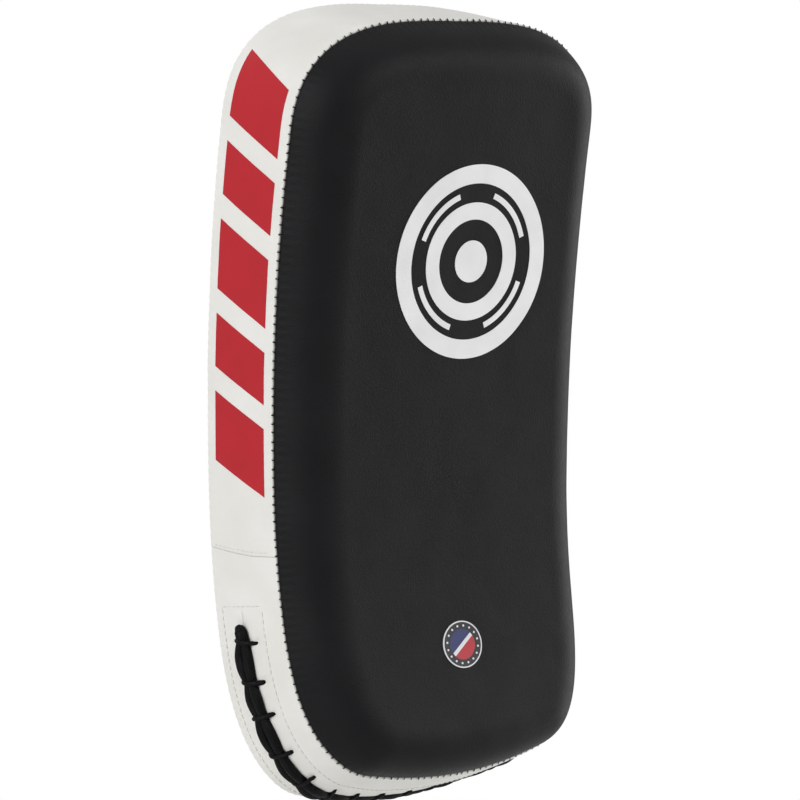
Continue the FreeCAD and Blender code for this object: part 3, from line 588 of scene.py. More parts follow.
def leather_sheet(piece, thickness, merge=0.01, centre=CENTRE):
    """Makes an open sheet a clean closed shell that faces away from a point."""
    clean(piece, merge)
    facing_out(piece, centre)
    thicken(piece, thickness)
    return piece


def panel(name, rim, inner_out, surface, material):
    """A closed panel: the rings of its rim, then rings that close on the spine."""
    rows = list(rim)
    x, along = PLAN.at(PLAN.s[:-1], inner_out)
    end = spine(along)
    for k in np.linspace(0, 1, CLOSING_RINGS + 1)[1:]:
        rows.append(surface(x * (1 - k), along * (1 - k) + end * k))
    piece = make_piece(name, np.stack(rows), grid_faces(len(rows), OUTLINE_POINTS, wrap=True), material)
    return leather_sheet(piece, LEATHER)


def signed(s):
    """Distance along the plan from the middle of the lower end, negative up the +X side."""
    return np.mod(np.asarray(s, float) + HALF, PLAN.length) - HALF


def seam_swell(s):
    """How far the front seam is pushed out: outwards at the sides and the top, inwards at the lower end."""
    return SEAM_SWELL - LOWER_TUCK * ease((125 - np.abs(signed(s))) / 75)


def front_rim():
    """Rings of the front panel from its tucked edge, over the curl and the rounded edge, to the flat."""
    s = PLAN.s[:-1]
    first = math.asin((BAND + SEAM_CURL - DEPTH + EDGE_ROUND) / EDGE_ROUND)
    curl_out = -EDGE_ROUND * (1 - math.cos(first)) - SEAM_CURL
    # out, depth, the direction in which the waves push, distance from the seam
    profile = [(curl_out - 1.2, BAND + 0.05, 0, -1, 0)]
    for t in np.linspace(0, math.pi / 2, 6)[:-1]:
        profile.append((curl_out + SEAM_CURL * math.sin(t), BAND + SEAM_CURL * (1 - math.cos(t)),
                        math.sin(t), -math.cos(t), 0))
    for a in np.linspace(first, math.pi / 2, 26):
        profile.append((-EDGE_ROUND * (1 - math.cos(a)), DEPTH - EDGE_ROUND * (1 - math.sin(a)),
                        math.cos(a), math.sin(a), EDGE_ROUND * (a - first)))
    rows = []
    for out, depth, push_out, push_depth, run in profile:
        share = min(1.0, run / 30)
        lift = face_wave(*PLAN.at(s, out)) * share + pucker(s, run) * (run > 0)
        lift = lift + EDGE_FULL * math.sin(math.pi * min(1.0, run / EDGE_RUN)) ** 2
        swell = seam_swell(s) * math.exp(-run / SEAM_SWELL_REACH) * (1 - share)
        rows.append(around(s, depth + push_depth * lift, out + push_out * lift + swell))
    return rows


def front_cover():
    return panel("front_cover", front_rim(), -EDGE_ROUND, face_point, BLACK_LEATHER)


def back_wave(x, along):
    return 0.35 * noise_at(np.stack(arrays(x, 3.0, along), axis=-1), 50.0, 9.0)


def back_point(x, along):
    return bend(x, along, -back_wave(x, along))


def back_cover():
    s = PLAN.s[:-1]
    rows = [around(s, 0.1, -SEAM_CURL - 1.4)]
    for t in np.linspace(0, math.pi / 2, 5):
        out = -SEAM_CURL - 0.05 - SEAM_CURL * (1 - math.cos(t))
        rows.append(around(s, 0.1 - SEAM_CURL * math.sin(t) * 0.9, out))
    for run in (1.0, 2.2, 4.0, 6.5, 10.0, 14.0):
        depth = 0.1 - SEAM_CURL * 0.9 * math.exp(-run / 5) - pucker(s, run)
        rows.append(around(s, depth, -2 * SEAM_CURL - 0.05 - run))
    return panel("back_cover", rows, -20.0, back_point, BACK_LEATHER)


FOAM_INSET = 3.4                     # the foam lies this far inside the plan
FOAMS = (
    # name, the two depths that it lies between, look, slot
    ("support_foam", (6.1, 20.0), DENSE_FOAM, "dense_foam"),
    ("shock_foam", (20.15, 38.0), FIRM_FOAM, "firm_foam"),
    ("impact_foam", (38.15, 66.5), SOFT_FOAM, "soft_foam"),
)


def foam_layer(name, near, far, look):
    """One foam layer of the filling, between two depths; the front one follows the rounded edge."""
    s = PLAN.s[:-1]
    x, along = PLAN.at(s, -FOAM_INSET - EDGE_ROUND)
    end = spine(along)
    rims = [(-FOAM_INSET, near), (-FOAM_INSET, far)]
    if far > BAND:
        angles = np.linspace(math.asin((BAND - DEPTH + EDGE_ROUND) / EDGE_ROUND), math.pi / 2, 14)
        rims = [(-FOAM_INSET, near)]
        rims += [(-EDGE_ROUND * (1 - math.cos(a)) - FOAM_INSET * math.cos(a),
                  DEPTH - EDGE_ROUND * (1 - math.sin(a)) - (LEATHER + 0.9) * math.sin(a)) for a in angles]
    last = rims[-1][1]
    rows = [bend(x * (1 - k), along * (1 - k) + end * k, near) for k in (1, 0.5, 0)]
    rows += [around(s, depth, out) for out, depth in rims]
    rows += [bend(x * (1 - k), along * (1 - k) + end * k, last) for k in (0, 0.5, 1)]
    piece = make_piece(name, np.stack(rows), grid_faces(len(rows), OUTLINE_POINTS, wrap=True), look)
    clean(piece)
    piece.data.set_sharp_from_angle(angle=math.radians(40))
    return piece


TIES = [154.1, 133.5, 115.6, 94.9, 76.7, 57.4, 38.3, 19.2]
TIES = TIES + [0.0] + [-s for s in TIES[::-1]]
TIE_REACH = (-7.9, 8.0)              # the ties' holes, from the slit
LACE_END = 159.0                     # how far the lace reaches from the middle of the lower end
LACE_SUNK = 2.2                      # how far the lace lies deeper at the lower end
KNOT_CORD, KNOT_HEIGHT = 1.7, 4.0    # cord radius in the knot, and the knot's height over the plan
SLIT_DRIFT = 12.0                    # how far the slit moves towards the back at the lower end
SLIT_S = PLAN.find(SLIT_TOP, True)
JOINT_S = PLAN.find(JOINT, True)


def drift(s):
    """1 at the middle of the lower end, where the slit lies nearer to the back, and 0 up the sides."""
    return ease((82 - np.abs(signed(s))) / 58)


def slit_at(s):
    """Depth of the lacing slit at a place along the plan."""
    return SLIT_DEPTH - SLIT_DRIFT * drift(s)


def band_bulge(s, depth):
    """How far the stuffing pushes the side band out from the plan."""
    height = PLAN.at(s)[1]
    return (0.9 * np.sin(math.pi * np.clip(depth / BAND, 0, 1))
            + seam_swell(s) * np.exp(-(BAND - depth) / SEAM_SWELL_REACH)
            + SIDE_SWELL * np.exp(-((height - 115) / 75) ** 2))


def band_out(s, depth):
    """How far the side band stands out from the plan, with its creases, slit and holes."""
    s, depth = arrays(s, depth)
    edge = np.minimum(depth, BAND - depth)
    out = band_bulge(s, depth) + pucker(s, np.maximum(edge, 0) + 1.0)
    out = out + 0.3 * noise_at(around(s, depth), 38.0, 3.0) + 0.1 * noise_at(around(s, depth), 11.0, 8.0)
    run = signed(s)
    lower = np.clip((JOINT_S - np.abs(run)) / 4, 0, 1)
    inside = np.clip((SLIT_S - np.abs(run)) / 3, 0, 1)
    slit = slit_at(s)
    offset = np.abs(depth - slit)
    laced = np.clip((162 - np.abs(run)) / 6, 0, 1)
    out = out - inside * (1.2 + 0.8 * laced) * np.exp(-(offset / (0.35 + 1.6 * laced)) ** 2)
    out = out + inside * (0.25 + 0.35 * laced) * np.exp(-((offset - 3.2 - 2 * laced) / 2.2) ** 2)
    for tie in TIES:
        near = np.exp(-((run - tie) / 2.2) ** 2)
        pulled = sum(np.exp(-((depth - slit - reach) / 1.5) ** 2) for reach in TIE_REACH)
        out = out - lower * near * (0.8 * pulled + 0.5 * np.exp(-((depth - slit) / 9) ** 2))
    return out


def band_point(s, depth, lift=0.0):
    return around(s, depth, band_out(s, depth) + lift)


def band_normal(s, depth):
    s, depth = arrays(s, depth)
    return unit(around(s, depth, 1.0) - around(s, depth, 0.0))


def band_rows(fine):
    """(depth, how far the row falls below the band's surface) from the back seam to the front seam."""
    turn = np.linspace(0, math.pi / 2, 6)
    rows = [(0.05, SEAM_CURL + 1.2)]
    rows += [(SEAM_CURL * (1 - math.cos(t)), SEAM_CURL * (1 - math.sin(t))) for t in turn]
    middle = set(np.round(np.linspace(SEAM_CURL, BAND - SEAM_CURL, 38)[1:-1], 3))
    if fine:
        beside = np.array([0.2, 0.5, 0.9, 1.4, 2])
        middle |= set(np.round(SLIT_DEPTH + np.r_[-beside, 0, beside], 3))
    rows += [(depth, 0.0) for depth in sorted(middle)]
    rows += [(BAND - depth, fall) for depth, fall in rows[:7][::-1]]
    return rows


def leaned(s, depth):
    """Moves places near a joint up towards the back, where the joint runs higher."""
    run = signed(s)
    near = np.exp(-np.abs(np.abs(run) - JOINT_S) / 14)
    return s + np.sign(run) * JOINT_LEAN * np.clip(1 - depth / 32, 0, 1) ** 1.3 * near


def side_band(name, start, end):
    """A band from one joint to the other; its ends turn in at the joints."""
    near = np.array([0.02, 0.02, 0.12, 0.3, 0.55, 0.9, 1.3])
    bite = SEAM_CURL - np.minimum(near[1:], SEAM_CURL)
    fall = np.r_[SEAM_CURL + 1.2, SEAM_CURL - np.sqrt(np.clip(SEAM_CURL ** 2 - bite ** 2, 0, None))]
    inner = np.linspace(start + 2, end - 2, int((end - start) / 1.05))
    s = np.r_[start + near, inner, (end - near)[::-1]]
    drop = np.r_[fall, np.zeros(len(inner)), fall[::-1]]
    rows = []
    for depth, down in band_rows(fine=start < 0):
        place = leaned(s, depth)
        rows.append(around(place, depth, band_out(place, depth) - down - drop))
    piece = make_piece(name, np.stack(rows), grid_faces(len(rows), len(s)), WHITE_LEATHER)
    return leather_sheet(piece, LEATHER, merge=0.001)


def facing():
    """The strip sewn behind the slit, just inside the lower band."""
    s = np.linspace(-SLIT_S - 3, SLIT_S + 3, 330)
    outer = [around(s, depth, band_out(s, depth) - LEATHER - 0.15) for depth in np.linspace(4, 36, 22)]
    piece = make_piece("lacing_facing", np.stack(outer), grid_faces(22, 330), FACING_LEATHER)
    facing_out(piece, CENTRE)
    thicken(piece, 1.0)
    return piece


def band_stitches(s, depth, length, radius):
    return stitches(band_point(s, depth), band_normal(s, depth), length, 0.9, radius)


def seam_threads():
    """Stitches of the cover: teeth over the front seam, running stitches at the back, joints and facing."""
    black, white = [], []
    s = np.arange(0, PLAN.length - 1, STITCH_PITCH)
    s = s + RNG.uniform(-0.25, 0.25, len(s))
    for middle in s:
        reach = RNG.uniform(0.05, 0.5)
        t = np.linspace(0, 1, 5)
        depth = BAND + 0.8 - (0.8 + reach) * t
        run = middle + RNG.uniform(-0.3, 0.6) * t
        lift = np.array([-0.9, -0.45, -0.1, 0.12, -0.2])
        path = around(run, depth, band_bulge(run, np.minimum(depth, BAND)) + lift)
        width = np.array([1.3, 1.3, 1.1, 0.8, 0.3]) * RNG.uniform(0.22, 0.36)
        black.append(sweep(path, tapered(width, 8, 0.55), up=band_normal(run, BAND)))
    t = np.linspace(0, PLAN.length, OUTLINE_POINTS)
    behind = around(t, -SEAM_CURL * 0.75, -6.5)
    outward = unit(around(t, -1.0, -6.5) - around(t, 0.0, -6.5))
    black += stitches(behind, outward, 3.3, 1.1, 0.32)
    for sign in (1, -1):
        depth = np.linspace(3, BAND - 3, 60)
        above = leaned(np.full(60, sign * (JOINT_S + 2.2)), depth)
        white += band_stitches(above, depth, 2.4, 0.22)
    edges = np.linspace(-SLIT_S - 1.5, SLIT_S + 1.5, 400)
    for depth, moved in ((5.5, 2.0), (34.5, 5.0)):
        white += band_stitches(edges, depth - moved * drift(edges), 2.6, 0.24)
    for end in edges[[-1, 0]]:
        white += band_stitches(end, np.linspace(5.5, 34.5, 40), 2.6, 0.24)
    return many("cover_stitches", black, BLACK_THREAD), many("facing_stitches", white, WHITE_THREAD)


def lace():
    """A doubled cord along the slit, tied down at each pair of holes, with its knot on the far side."""
    parts = []
    top = LACE_END
    s = np.r_[np.linspace(top, 150, 16), np.linspace(150, -150, 380)[1:-1], np.linspace(-150, -top, 16)]
    bow = np.clip(np.min(np.abs(s[:, None] - TIES), axis=1) / 9.5, 0, 1)
    narrow = np.clip((top + 1 - np.abs(s)) / 7, 0.55, 1)
    sway = 0.5 * np.sin(s / 13.0)
    strands = []
    for sign, phase in ((1, 0.0), (-1, 2.1)):
        offset = (1.5 + 1.1 * np.sin(bow * math.pi / 2) + 0.2 * np.sin(s / 8 + phase)) * narrow
        height = 1.5 + 0.8 * np.sin(bow * math.pi / 2) + 0.25 * np.sin(s / 6 + phase)
        depth = slit_at(s) + sway + sign * offset
        strands.append(around(s, depth, band_bulge(s, depth) + height - LACE_SUNK * drift(s)))
    loop = np.linspace(0, math.pi, 9)[1:-1]
    across = SLIT_DEPTH + sway[0] + 1.2 * np.cos(loop)
    knob = around(top + 1.9 * np.sin(loop), across, band_bulge(top, SLIT_DEPTH) + 1.7 + 0.9 * np.sin(loop))
    path = np.vstack([strands[0][::-1], knob, strands[1]])
    fat = np.concatenate([bow[::-1], np.zeros(len(knob)), bow])
    pieces = sweep(path, tapered(2.3 + 0.5 * np.sin(fat * math.pi / 2), 12, 0.86))
    angle = np.abs(np.linspace(-math.pi, math.pi, 12, endpoint=False)) * 2.35 * MM
    pieces[2][:, 1] = np.tile(angle, len(path))
    parts.append(pieces)
    for tie in TIES:
        lean = RNG.uniform(-1.6, 2.2)
        t = np.linspace(0, 1, 15)
        first, last = (slit_at(tie) + reach + RNG.uniform(-0.6, 0.6) for reach in TIE_REACH)
        depth = first + (last - first) * t
        over = np.clip(np.sin(math.pi * np.clip((t - 0.16) / 0.68, 0, 1)), 0, 1) ** 0.5
        height = -1.2 + 1.7 * np.clip(np.minimum(t, 1 - t) / 0.08, 0, 1) + 3.1 * over
        height = height + band_bulge(tie, depth) - LACE_SUNK * drift(tie) * over
        path = around(tie + lean * (t - 0.5) + 0.4 * np.sin(5 * t), depth, height)
        thick = RNG.uniform(1.1, 1.45) * (1 + 0.12 * np.sin(7 * t + tie)) * (0.72 + 0.28 * np.sin(math.pi * t))
        parts.append(sweep(path, tapered(thick, 10, 0.9), up=band_normal(tie, depth)))
    parts += lace_knot(-top)
    return many("closure_lace", parts, BLACK_LACE)


def lace_knot(at):
    """The reef knot and the two short tails at the lace's far end."""
    parts = []
    t = circle(28)
    for turn, (wide, tall) in enumerate(((4.2, 2.6), (3.4, 3.4), (2.6, 4.4))):
        run = at - 2 + tall * np.sin(t) * 0.9
        path = around(run, SLIT_DEPTH + wide * np.cos(t), KNOT_HEIGHT + 1.4 * np.sin(2 * t + turn))
        parts.append(sweep(path, ring_section(KNOT_CORD, 10), closed=True))
    for side in (-1, 1):
        u = np.linspace(0, 1, 16)
        depth = SLIT_DEPTH + side * (3 + 7 * u)
        path = around(at - 3 - 20 * u + 4 * u ** 2, depth, 4.2 + 1.2 * np.sin(3.0 * u) - 0.9 * u)
        parts.append(sweep(path, tapered(KNOT_CORD * (1 - 0.18 * (u > 0.93)), 10)))
    return parts


# ---- transfers ----

def disc_part(place, outer, inner=0.0, steps=96, rings=6, start=0.0, end=2 * math.pi, thick=0.22):
    """A flat ring or disc as a thin closed layer; place(x, z, lift) gives points."""
    whole = end - start > 6.28
    t = np.linspace(start, end, steps, endpoint=not whole)
    r = np.linspace(outer, inner, rings)
    x, z = np.outer(r, np.cos(t)), np.outer(r, np.sin(t))
    return layer_part(place, x, z, thick, whole)


def layer_part(place, x, z, thick=0.22, whole=False):
    """A thin closed layer from a grid of flat places; whole closes the grid round on itself."""
    rows, columns = x.shape
    top, low = place(x, z, thick), place(x, z, -0.25)
    points = np.concatenate([top.reshape(-1, 3), low.reshape(-1, 3)])
    count = rows * columns
    faces = grid_faces(rows, columns, whole) + grid_faces(rows, columns, whole, start=count, flip=True)
    borders = [[(0, c) for c in range(columns)] + [(r, columns - 1) for r in range(1, rows)]
               + [(rows - 1, c) for c in range(columns - 2, -1, -1)] + [(r, 0) for r in range(rows - 2, 0, -1)]]
    if whole:
        borders = [[(0, c) for c in range(columns)], [(rows - 1, c) for c in range(columns - 1, -1, -1)]]
    for border in borders:
        index = [r * columns + c for r, c in border]
        for a, b in zip(index, index[1:] + index[:1]):
            faces.append((b, a, count + a, count + b))
    uv = np.stack([x.ravel(), z.ravel()], axis=1) * MM
    return points, faces, np.vstack([uv, uv])


def transfer(name, parts, look):
    """A transfer from its parts, with its thin edges kept sharp."""
    piece = many(name, parts, look)
    clean(piece)
    piece.data.set_sharp_from_angle(angle=math.radians(50))
    return piece


def target_print():
    """Three rings and a bull's eye on the striking face."""
    def place(x, z, lift):
        return face_point(x + 8, z + 118, lift)
    parts = [disc_part(place, outer, inner, 180) for outer, inner in ((51, 41), (31, 22), (11, 0))]
    for quarter in range(4):
        middle = math.radians(45 + 90 * quarter)
        parts.append(disc_part(place, 37.5, 34.5, 60, 3, middle - 0.45, middle + 0.45))
    return transfer("target_print", parts, WHITE_PRINT)


def round_badge():
    """A small badge: silver rim, dotted black band, and a disc in red and blue halves with a white bar."""
    def place(x, z, lift):
        return face_point(x - 0.7, z - 88.4, lift)
    colours = {"white": [], "black": [], "blue": [], "red": []}
    colours["white"].append(disc_part(place, 13.3, 12.6, 96, 3, thick=0.34))
    colours["black"].append(disc_part(place, 12.6, 8.6, 96, 4, thick=0.26))
    for index in range(16):
        angle = 2 * math.pi * (index + 0.5) / 16

        def dot(x, z, lift, angle=angle):
            return place(x + 10.6 * math.cos(angle), z + 10.6 * math.sin(angle), lift)
        colours["white"].append(disc_part(dot, 0.62, 0, 12, 3, thick=0.36))
    slant = math.radians(38)
    colours["blue"].append(disc_part(place, 8.6, 0, 60, 6, slant, slant + math.pi, thick=0.26))
    colours["red"].append(disc_part(place, 8.6, 0, 60, 6, slant + math.pi, slant + 2 * math.pi, thick=0.26))
    along, across = np.meshgrid(np.linspace(-1, 1, 24), np.linspace(-1.1, 1.1, 4))
    reach = np.sqrt(8.5 ** 2 - across ** 2)
    x = along * reach * math.cos(slant) - across * math.sin(slant)
    z = along * reach * math.sin(slant) + across * math.cos(slant)
    colours["white"].append(layer_part(place, x, z, 0.36))
    looks = {"white": BADGE_WHITE, "black": BADGE_BLACK, "blue": BADGE_BLUE, "red": BADGE_RED}
    return join("round_badge", [transfer(f"badge_{key}", parts, looks[key]) for key, parts in colours.items()])


STRIPE_BASE = 1.0                    # height at which the bars start
STRIPE_SLANT = 16.0
STRIPE_DEPTHS = (6.7, 42.0)
STRIPE_BARS = ((0, 34), (46, 26), (84, 34), (130, 26), (168, 34))  # start and height of each bar


def side_stripe(name, left):
    """Bold slanted bars up one side band."""
    low, high = STRIPE_DEPTHS
    parts = []
    sign = 1 if left else -1
    base = PLAN.find(STRIPE_BASE, left)
    for start, tall in STRIPE_BARS:
        u, v = np.meshgrid(np.linspace(0, 1, 32), np.linspace(0, 1, int(tall / 1.6)))

        def place(u, v, lift, start=start, tall=tall):
            s = base + sign * (start + tall * v + STRIPE_SLANT * u)
            return band_point(s, high + (low - high) * u, lift)
        parts.append(layer_part(place, u, v))
    return transfer(name, parts, RED_PRINT)

# ---- forearm cushion ----
CUSHION_HALF = (46.0, 94.0)          # half width and half length
CUSHION_CORNER = 20.0
CUSHION_HEIGHT = 12.0


def cushion_edge(count=360):
    """The cushion's plan from the middle of its upper end: a rectangle with round corners, as x and along."""
    corner = CUSHION_CORNER
    wide, tall = CUSHION_HALF
    t = np.linspace(0, math.pi / 2, 24)
    path = [[(0, tall)]]
    for quarter, (x, z) in ((1, (-1, 1)), (2, (-1, -1)), (3, (1, -1)), (0, (1, 1))):
        angle = t + quarter * math.pi / 2
        path.append(np.stack([x * (wide - corner) + corner * np.cos(angle),
                              z * (tall - corner) + corner * np.sin(angle)], axis=1))
    path = np.vstack([*path, path[0]])
    distance = run_of(path)
    s = np.linspace(0, distance[-1], count, endpoint=False)
    return np.stack([np.interp(s, distance, path[:, k]) for k in (0, 1)], axis=1)


CHANNELS = (-47.0, 0.0, 47.0)        # heights of the sewn channels across the cushion
CHANNEL_RISE = 0.6                   # how far the stuffing lifts the channels' stitches


def cushion_height(inside):
    """Height of the stuffed cushion over the back, by how far a point lies inside its edge."""
    round_off = np.sqrt(np.clip(1 - (1 - np.clip(inside / 9.0, 0, 1)) ** 2, 0, 1))
    return (CUSHION_HEIGHT - 2.0) * round_off * (1 + 0.1 * np.sin(math.pi / 2 * np.clip(inside / 46, 0, 1)))


def channel_drop(x, along):
    """How far the sewn channels pull the cushion's cover down."""
    inside = CUSHION_HALF[0] - np.abs(x)
    share = np.clip(inside / 10, 0, 1)
    return sum(3.6 * np.exp(-np.abs((along - channel) / 4.2) ** 1.6) for channel in CHANNELS) * share


def cushion_places():
    """Rings of the cushion from its edge to its middle: x, along and how far inside the edge."""
    edge = cushion_edge()
    wide = CUSHION_HALF[0]
    room = CUSHION_HALF[1] - wide
    end = np.clip(edge[:, 1], -room, room)
    rows = [(edge[:, 0], edge[:, 1], None)]
    for k in np.linspace(0.0, 1, 36) ** 1.35:
        rows.append((edge[:, 0] * (1 - k), edge[:, 1] * (1 - k) + end * k, k * wide))
    return rows


def forearm_cushion():
    """The cushion's cover, stuffed, gathered at its channels, and the foam inside it."""
    points = []
    for x, along, inside in cushion_places():
        height = np.full_like(x, -0.6) if inside is None else np.full_like(x, cushion_height(inside))
        points.append(bend(x, along, -height))
    piece = make_piece("forearm_cushion_cover", np.stack(points),
                       grid_faces(len(points), len(points[0]), wrap=True), BACK_LEATHER)
    clean(piece)
    facing_out(piece, CENTRE)
    puff(piece)
    flat = np.array([v.co for v in piece.data.vertices]) / MM
    along = along_of(flat)
    inside = np.clip((CUSHION_HALF[0] - np.abs(flat[:, 0])) / 12, 0.1, 1)
    inside = np.minimum(inside, np.clip((CUSHION_HALF[1] - np.abs(along)) / 12, 0.1, 1))
    gather = sum(np.exp(-((along - channel) / 9) ** 2) for channel in CHANNELS)
    folds = 0.5 * noise_at(flat, 24.0, 2.0) + (0.25 + 0.45 * gather) * noise_at(flat * (1, 1, 0.25), 6.5, 6.0)
    flat[:, 1] += folds * inside - channel_drop(flat[:, 0], along)
    piece.data.vertices.foreach_set("co", (flat * MM).ravel())
    piece.data.update()
    filling = foam_inside(piece, 1.7)
    thicken(piece, 1.2)
    return piece, filling


def along_of(points):
    """Height along the bent back face of points that lie near it."""
    back = np.where(points[:, 2] >= 0, BACK_BEND[0], BACK_BEND[1])
    return np.arcsin(points[:, 2] * back / (1 + CUSHION_HEIGHT * back)) / back


def foam_inside(cover, gap):
    """The foam that fills a cover: the cover's inner side, closed underneath."""
    mesh = cover.data.copy()
    normals = np.array([v.normal for v in mesh.vertices])
    places = np.array([v.co for v in mesh.vertices]) - normals * gap * MM
    mesh.vertices.foreach_set("co", places.ravel())
    mesh.materials.clear()
    mesh.materials.append(SOFT_FOAM)
    made = bmesh.new()
    made.from_mesh(mesh)
    bmesh.ops.holes_fill(made, edges=made.edges)
    made.to_mesh(mesh)
    made.free()
    piece = bpy.data.objects.new("forearm_cushion_foam_skin", mesh)
    bpy.context.scene.collection.objects.link(piece)
    return piece


def puff(piece, limit=3.0, frames=20):
    """Fills a cover out as stuffing would, by a short pressure simulation with its rim held."""
    mesh = piece.data
    before = np.array([v.co for v in mesh.vertices])
    rim = piece.vertex_groups.new(name="rim")
    rim.add([v.index for v in mesh.vertices if is_rim(v.co)], 1.0, "REPLACE")
    cloth = piece.modifiers.new("cloth", "CLOTH")
    settings = cloth.settings
    settings.quality = 6
    settings.mass = 0.25
    settings.tension_stiffness = settings.compression_stiffness = 12
    settings.bending_stiffness = 0.6
    settings.use_pressure = True
    settings.uniform_pressure_force = 4
    settings.vertex_group_mass = "rim"
    settings.effector_weights.gravity = 0
    cloth.collision_settings.use_collision = False
    cloth.point_cache.frame_start, cloth.point_cache.frame_end = 1, frames
    for step in range(1, frames + 1):
        bpy.context.scene.frame_set(step)
    apply_modifiers(piece)
    bpy.context.scene.frame_set(1)
    move = np.array([v.co for v in piece.data.vertices]) - before
    size = np.linalg.norm(move, axis=1, keepdims=True)
    move *= np.minimum(1, limit * MM / np.maximum(size, 1e-9))
    piece.data.vertices.foreach_set("co", (before + move).ravel())
    piece.data.update()


def is_rim(co):
    """Whether a cushion vertex lies at its sewn edge."""
    x, along = abs(co.x) / MM, abs(co.z) / MM
    wide, tall = CUSHION_HALF
    over = math.hypot(max(0.0, x - wide + CUSHION_CORNER), max(0.0, along - tall * 0.985 + CUSHION_CORNER))
    return over > CUSHION_CORNER - 3.0


def cushion_threads():
    """Stitches along the cushion's edge and its channels."""
    edge = cushion_edge()
    edge = np.vstack([edge, edge[:1]])
    rim = bend(edge[:, 0] * 1.035, edge[:, 1] * 1.017, -0.55)
    parts = stitches(rim, np.tile((0, 1.0, 0), (len(rim), 1)), 3.2, 1.1, 0.32, sink=0.6)
    for channel in CHANNELS:
        x = np.linspace(-CUSHION_HALF[0] + 4, CUSHION_HALF[0] - 4, 60)
        height = cushion_height(CUSHION_HALF[0] - np.abs(x)) - channel_drop(x, channel)
        path = bend(x, channel, -height - CHANNEL_RISE)
        parts += stitches(path, np.tile((0, 1.0, 0), (60, 1)), 3.2, 1.1, 0.35, sink=0.8)
    return many("cushion_stitches", parts, GREY_THREAD)


# ---- straps, tabs, anchors, rings and grip ----
BAND_WIDTH, BAND_THICK = 40.0, 2.5
HOOP_Y = 19.8                        # height of the middle of the strap's bow over the forearm
STRAPS = (55.0, -55.0)               # where the two straps lie along the pad
HOOP_RADIUS = 50.0                   # the bow, to the middle of the strap
FOLD_RADIUS, ANCHOR_FOLD = 5.25, 4.25  # folds of the strap and of the anchor round the ring
TAB_RADIUS, TAB_TURN = 56.6, 23.13   # the tab's bow, and its bend where it leaves the fold
TAB_WIDTH, ANCHOR_WIDTH = 36, 39
TAB_ROOT = (60.5, 20.1)              # where the tab's middle line starts, across and outwards
LOOP_PATCH = (52.35, 36, 1.6)        # radius of its bow, width and thickness
HOOK_PATCH = (54.25, 34, 1.5)
WEB_Y = 1.55                         # middle of a strip that lies on the back cover

class Station:
    """A flat place on the back face at a height: x across, y outwards, z along."""

    def __init__(self, along):
        self.origin = bend(0, along, 0)
        angle = along * BACK_BEND[along < 0]
        self.outward = np.array([0, math.cos(angle), math.sin(angle)])
        self.up = np.array([0, -math.sin(angle), math.cos(angle)])

    def at(self, x, y, z=0.0):
        x, y, z = arrays(x, y, z)
        return self.origin + y[..., None] * self.outward + z[..., None] * self.up + x[..., None] * (1.0, 0, 0)

    def way(self, x, y, z=0.0):
        """A direction, as steps from the origin."""
        return self.at(x, y, z) - self.origin


class Walk:
    """The middle line of a strip, walked in straight runs and bends; headings are in degrees."""

    def __init__(self, x, y, heading, step=1.2):
        self.points = [(x, y)]
        self.heading = heading
        self.step = step

    def run(self, length):
        count = max(2, int(length / self.step))
        x, y = self.points[-1]
        a = math.radians(self.heading)
        for t in np.linspace(0, length, count + 1)[1:]:
            self.points.append((x + t * math.cos(a), y + t * math.sin(a)))
        return self

    def bend(self, radius, turn):
        count = max(4, int(radius * math.radians(abs(turn)) / self.step))
        x, y = self.points[-1]
        a = math.radians(self.heading)
        side = 1 if turn > 0 else -1
        cx, cy = x - side * radius * math.sin(a), y + side * radius * math.cos(a)
        for t in np.radians(np.linspace(0, turn, count + 1)[1:]):
            b = a + t
            self.points.append((cx + side * radius * math.sin(b), cy - side * radius * math.cos(b)))
        self.heading += turn
        return self

    def line(self):
        return np.array(self.points)


def normals_of(line):
    tangent = unit(np.gradient(line, axis=0))
    return np.stack([-tangent[:, 1], tangent[:, 0]], axis=1)


def strip_section(width, thickness, crown=0.0):
    """A flat strip's section with rounded edges: (sideways, up) pairs."""
    half, edge = width / 2, thickness / 2
    t = np.linspace(-math.pi / 2, math.pi / 2, 7)
    right = [(half - edge + edge * math.cos(a), edge * math.sin(a)) for a in t]
    top = [(u * (half - edge), edge + crown * (1 - u ** 2)) for u in np.linspace(1, -1, 9)[1:-1]]
    left = [(-half + edge - edge * math.cos(a), -edge * math.sin(a)) for a in t]
    low = [(u * (half - edge), -edge) for u in np.linspace(-1, 1, 9)[1:-1]]
    return np.array(right + top + left + low)


def strip(station, line, width, thickness, crown=0.0, round_ends=0.0):
    """A strip along a walked line, as (points, faces, texture places)."""
    section = np.repeat(strip_section(width, thickness, crown)[None], len(line), axis=0)
    if round_ends:
        distance = run_of(line)
        left = np.minimum(distance[-1] - distance + 0.02, round_ends)
        shrink = 1 - (1 - np.sqrt(1 - (1 - left / round_ends) ** 2)) * round_ends / (width / 2)
        section[..., 0] *= shrink[:, None]
    return sweep(station.at(*line.T), section, up=station.way(*normals_of(line).T))


def strip_threads(station, line, across, side=1, start=3.0, end=3.0, offset=BAND_THICK / 2 + 0.1):
    """A row of stitches on each edge of a strip's face, at this distance either way from its middle."""
    distance = run_of(line)
    line = line[(distance >= start) & (distance <= distance[-1] - end)]
    normal = normals_of(line) * side
    place = (line + normal * offset).T
    rows = [stitches(station.at(*place, z), station.way(*normal.T), 3.0, 1.1, 0.34) for z in (-across, across)]
    return rows[0] + rows[1]


def flat_threads(station, x, y, z, count, length, gap=1.1, radius=0.34):
    """A straight row of stitches on a face that looks away from the pad."""
    x, z = np.linspace(*x, count), np.linspace(*z, count)
    return stitches(station.at(x, y, z), np.tile(station.outward, (count, 1)), length, gap, radius)


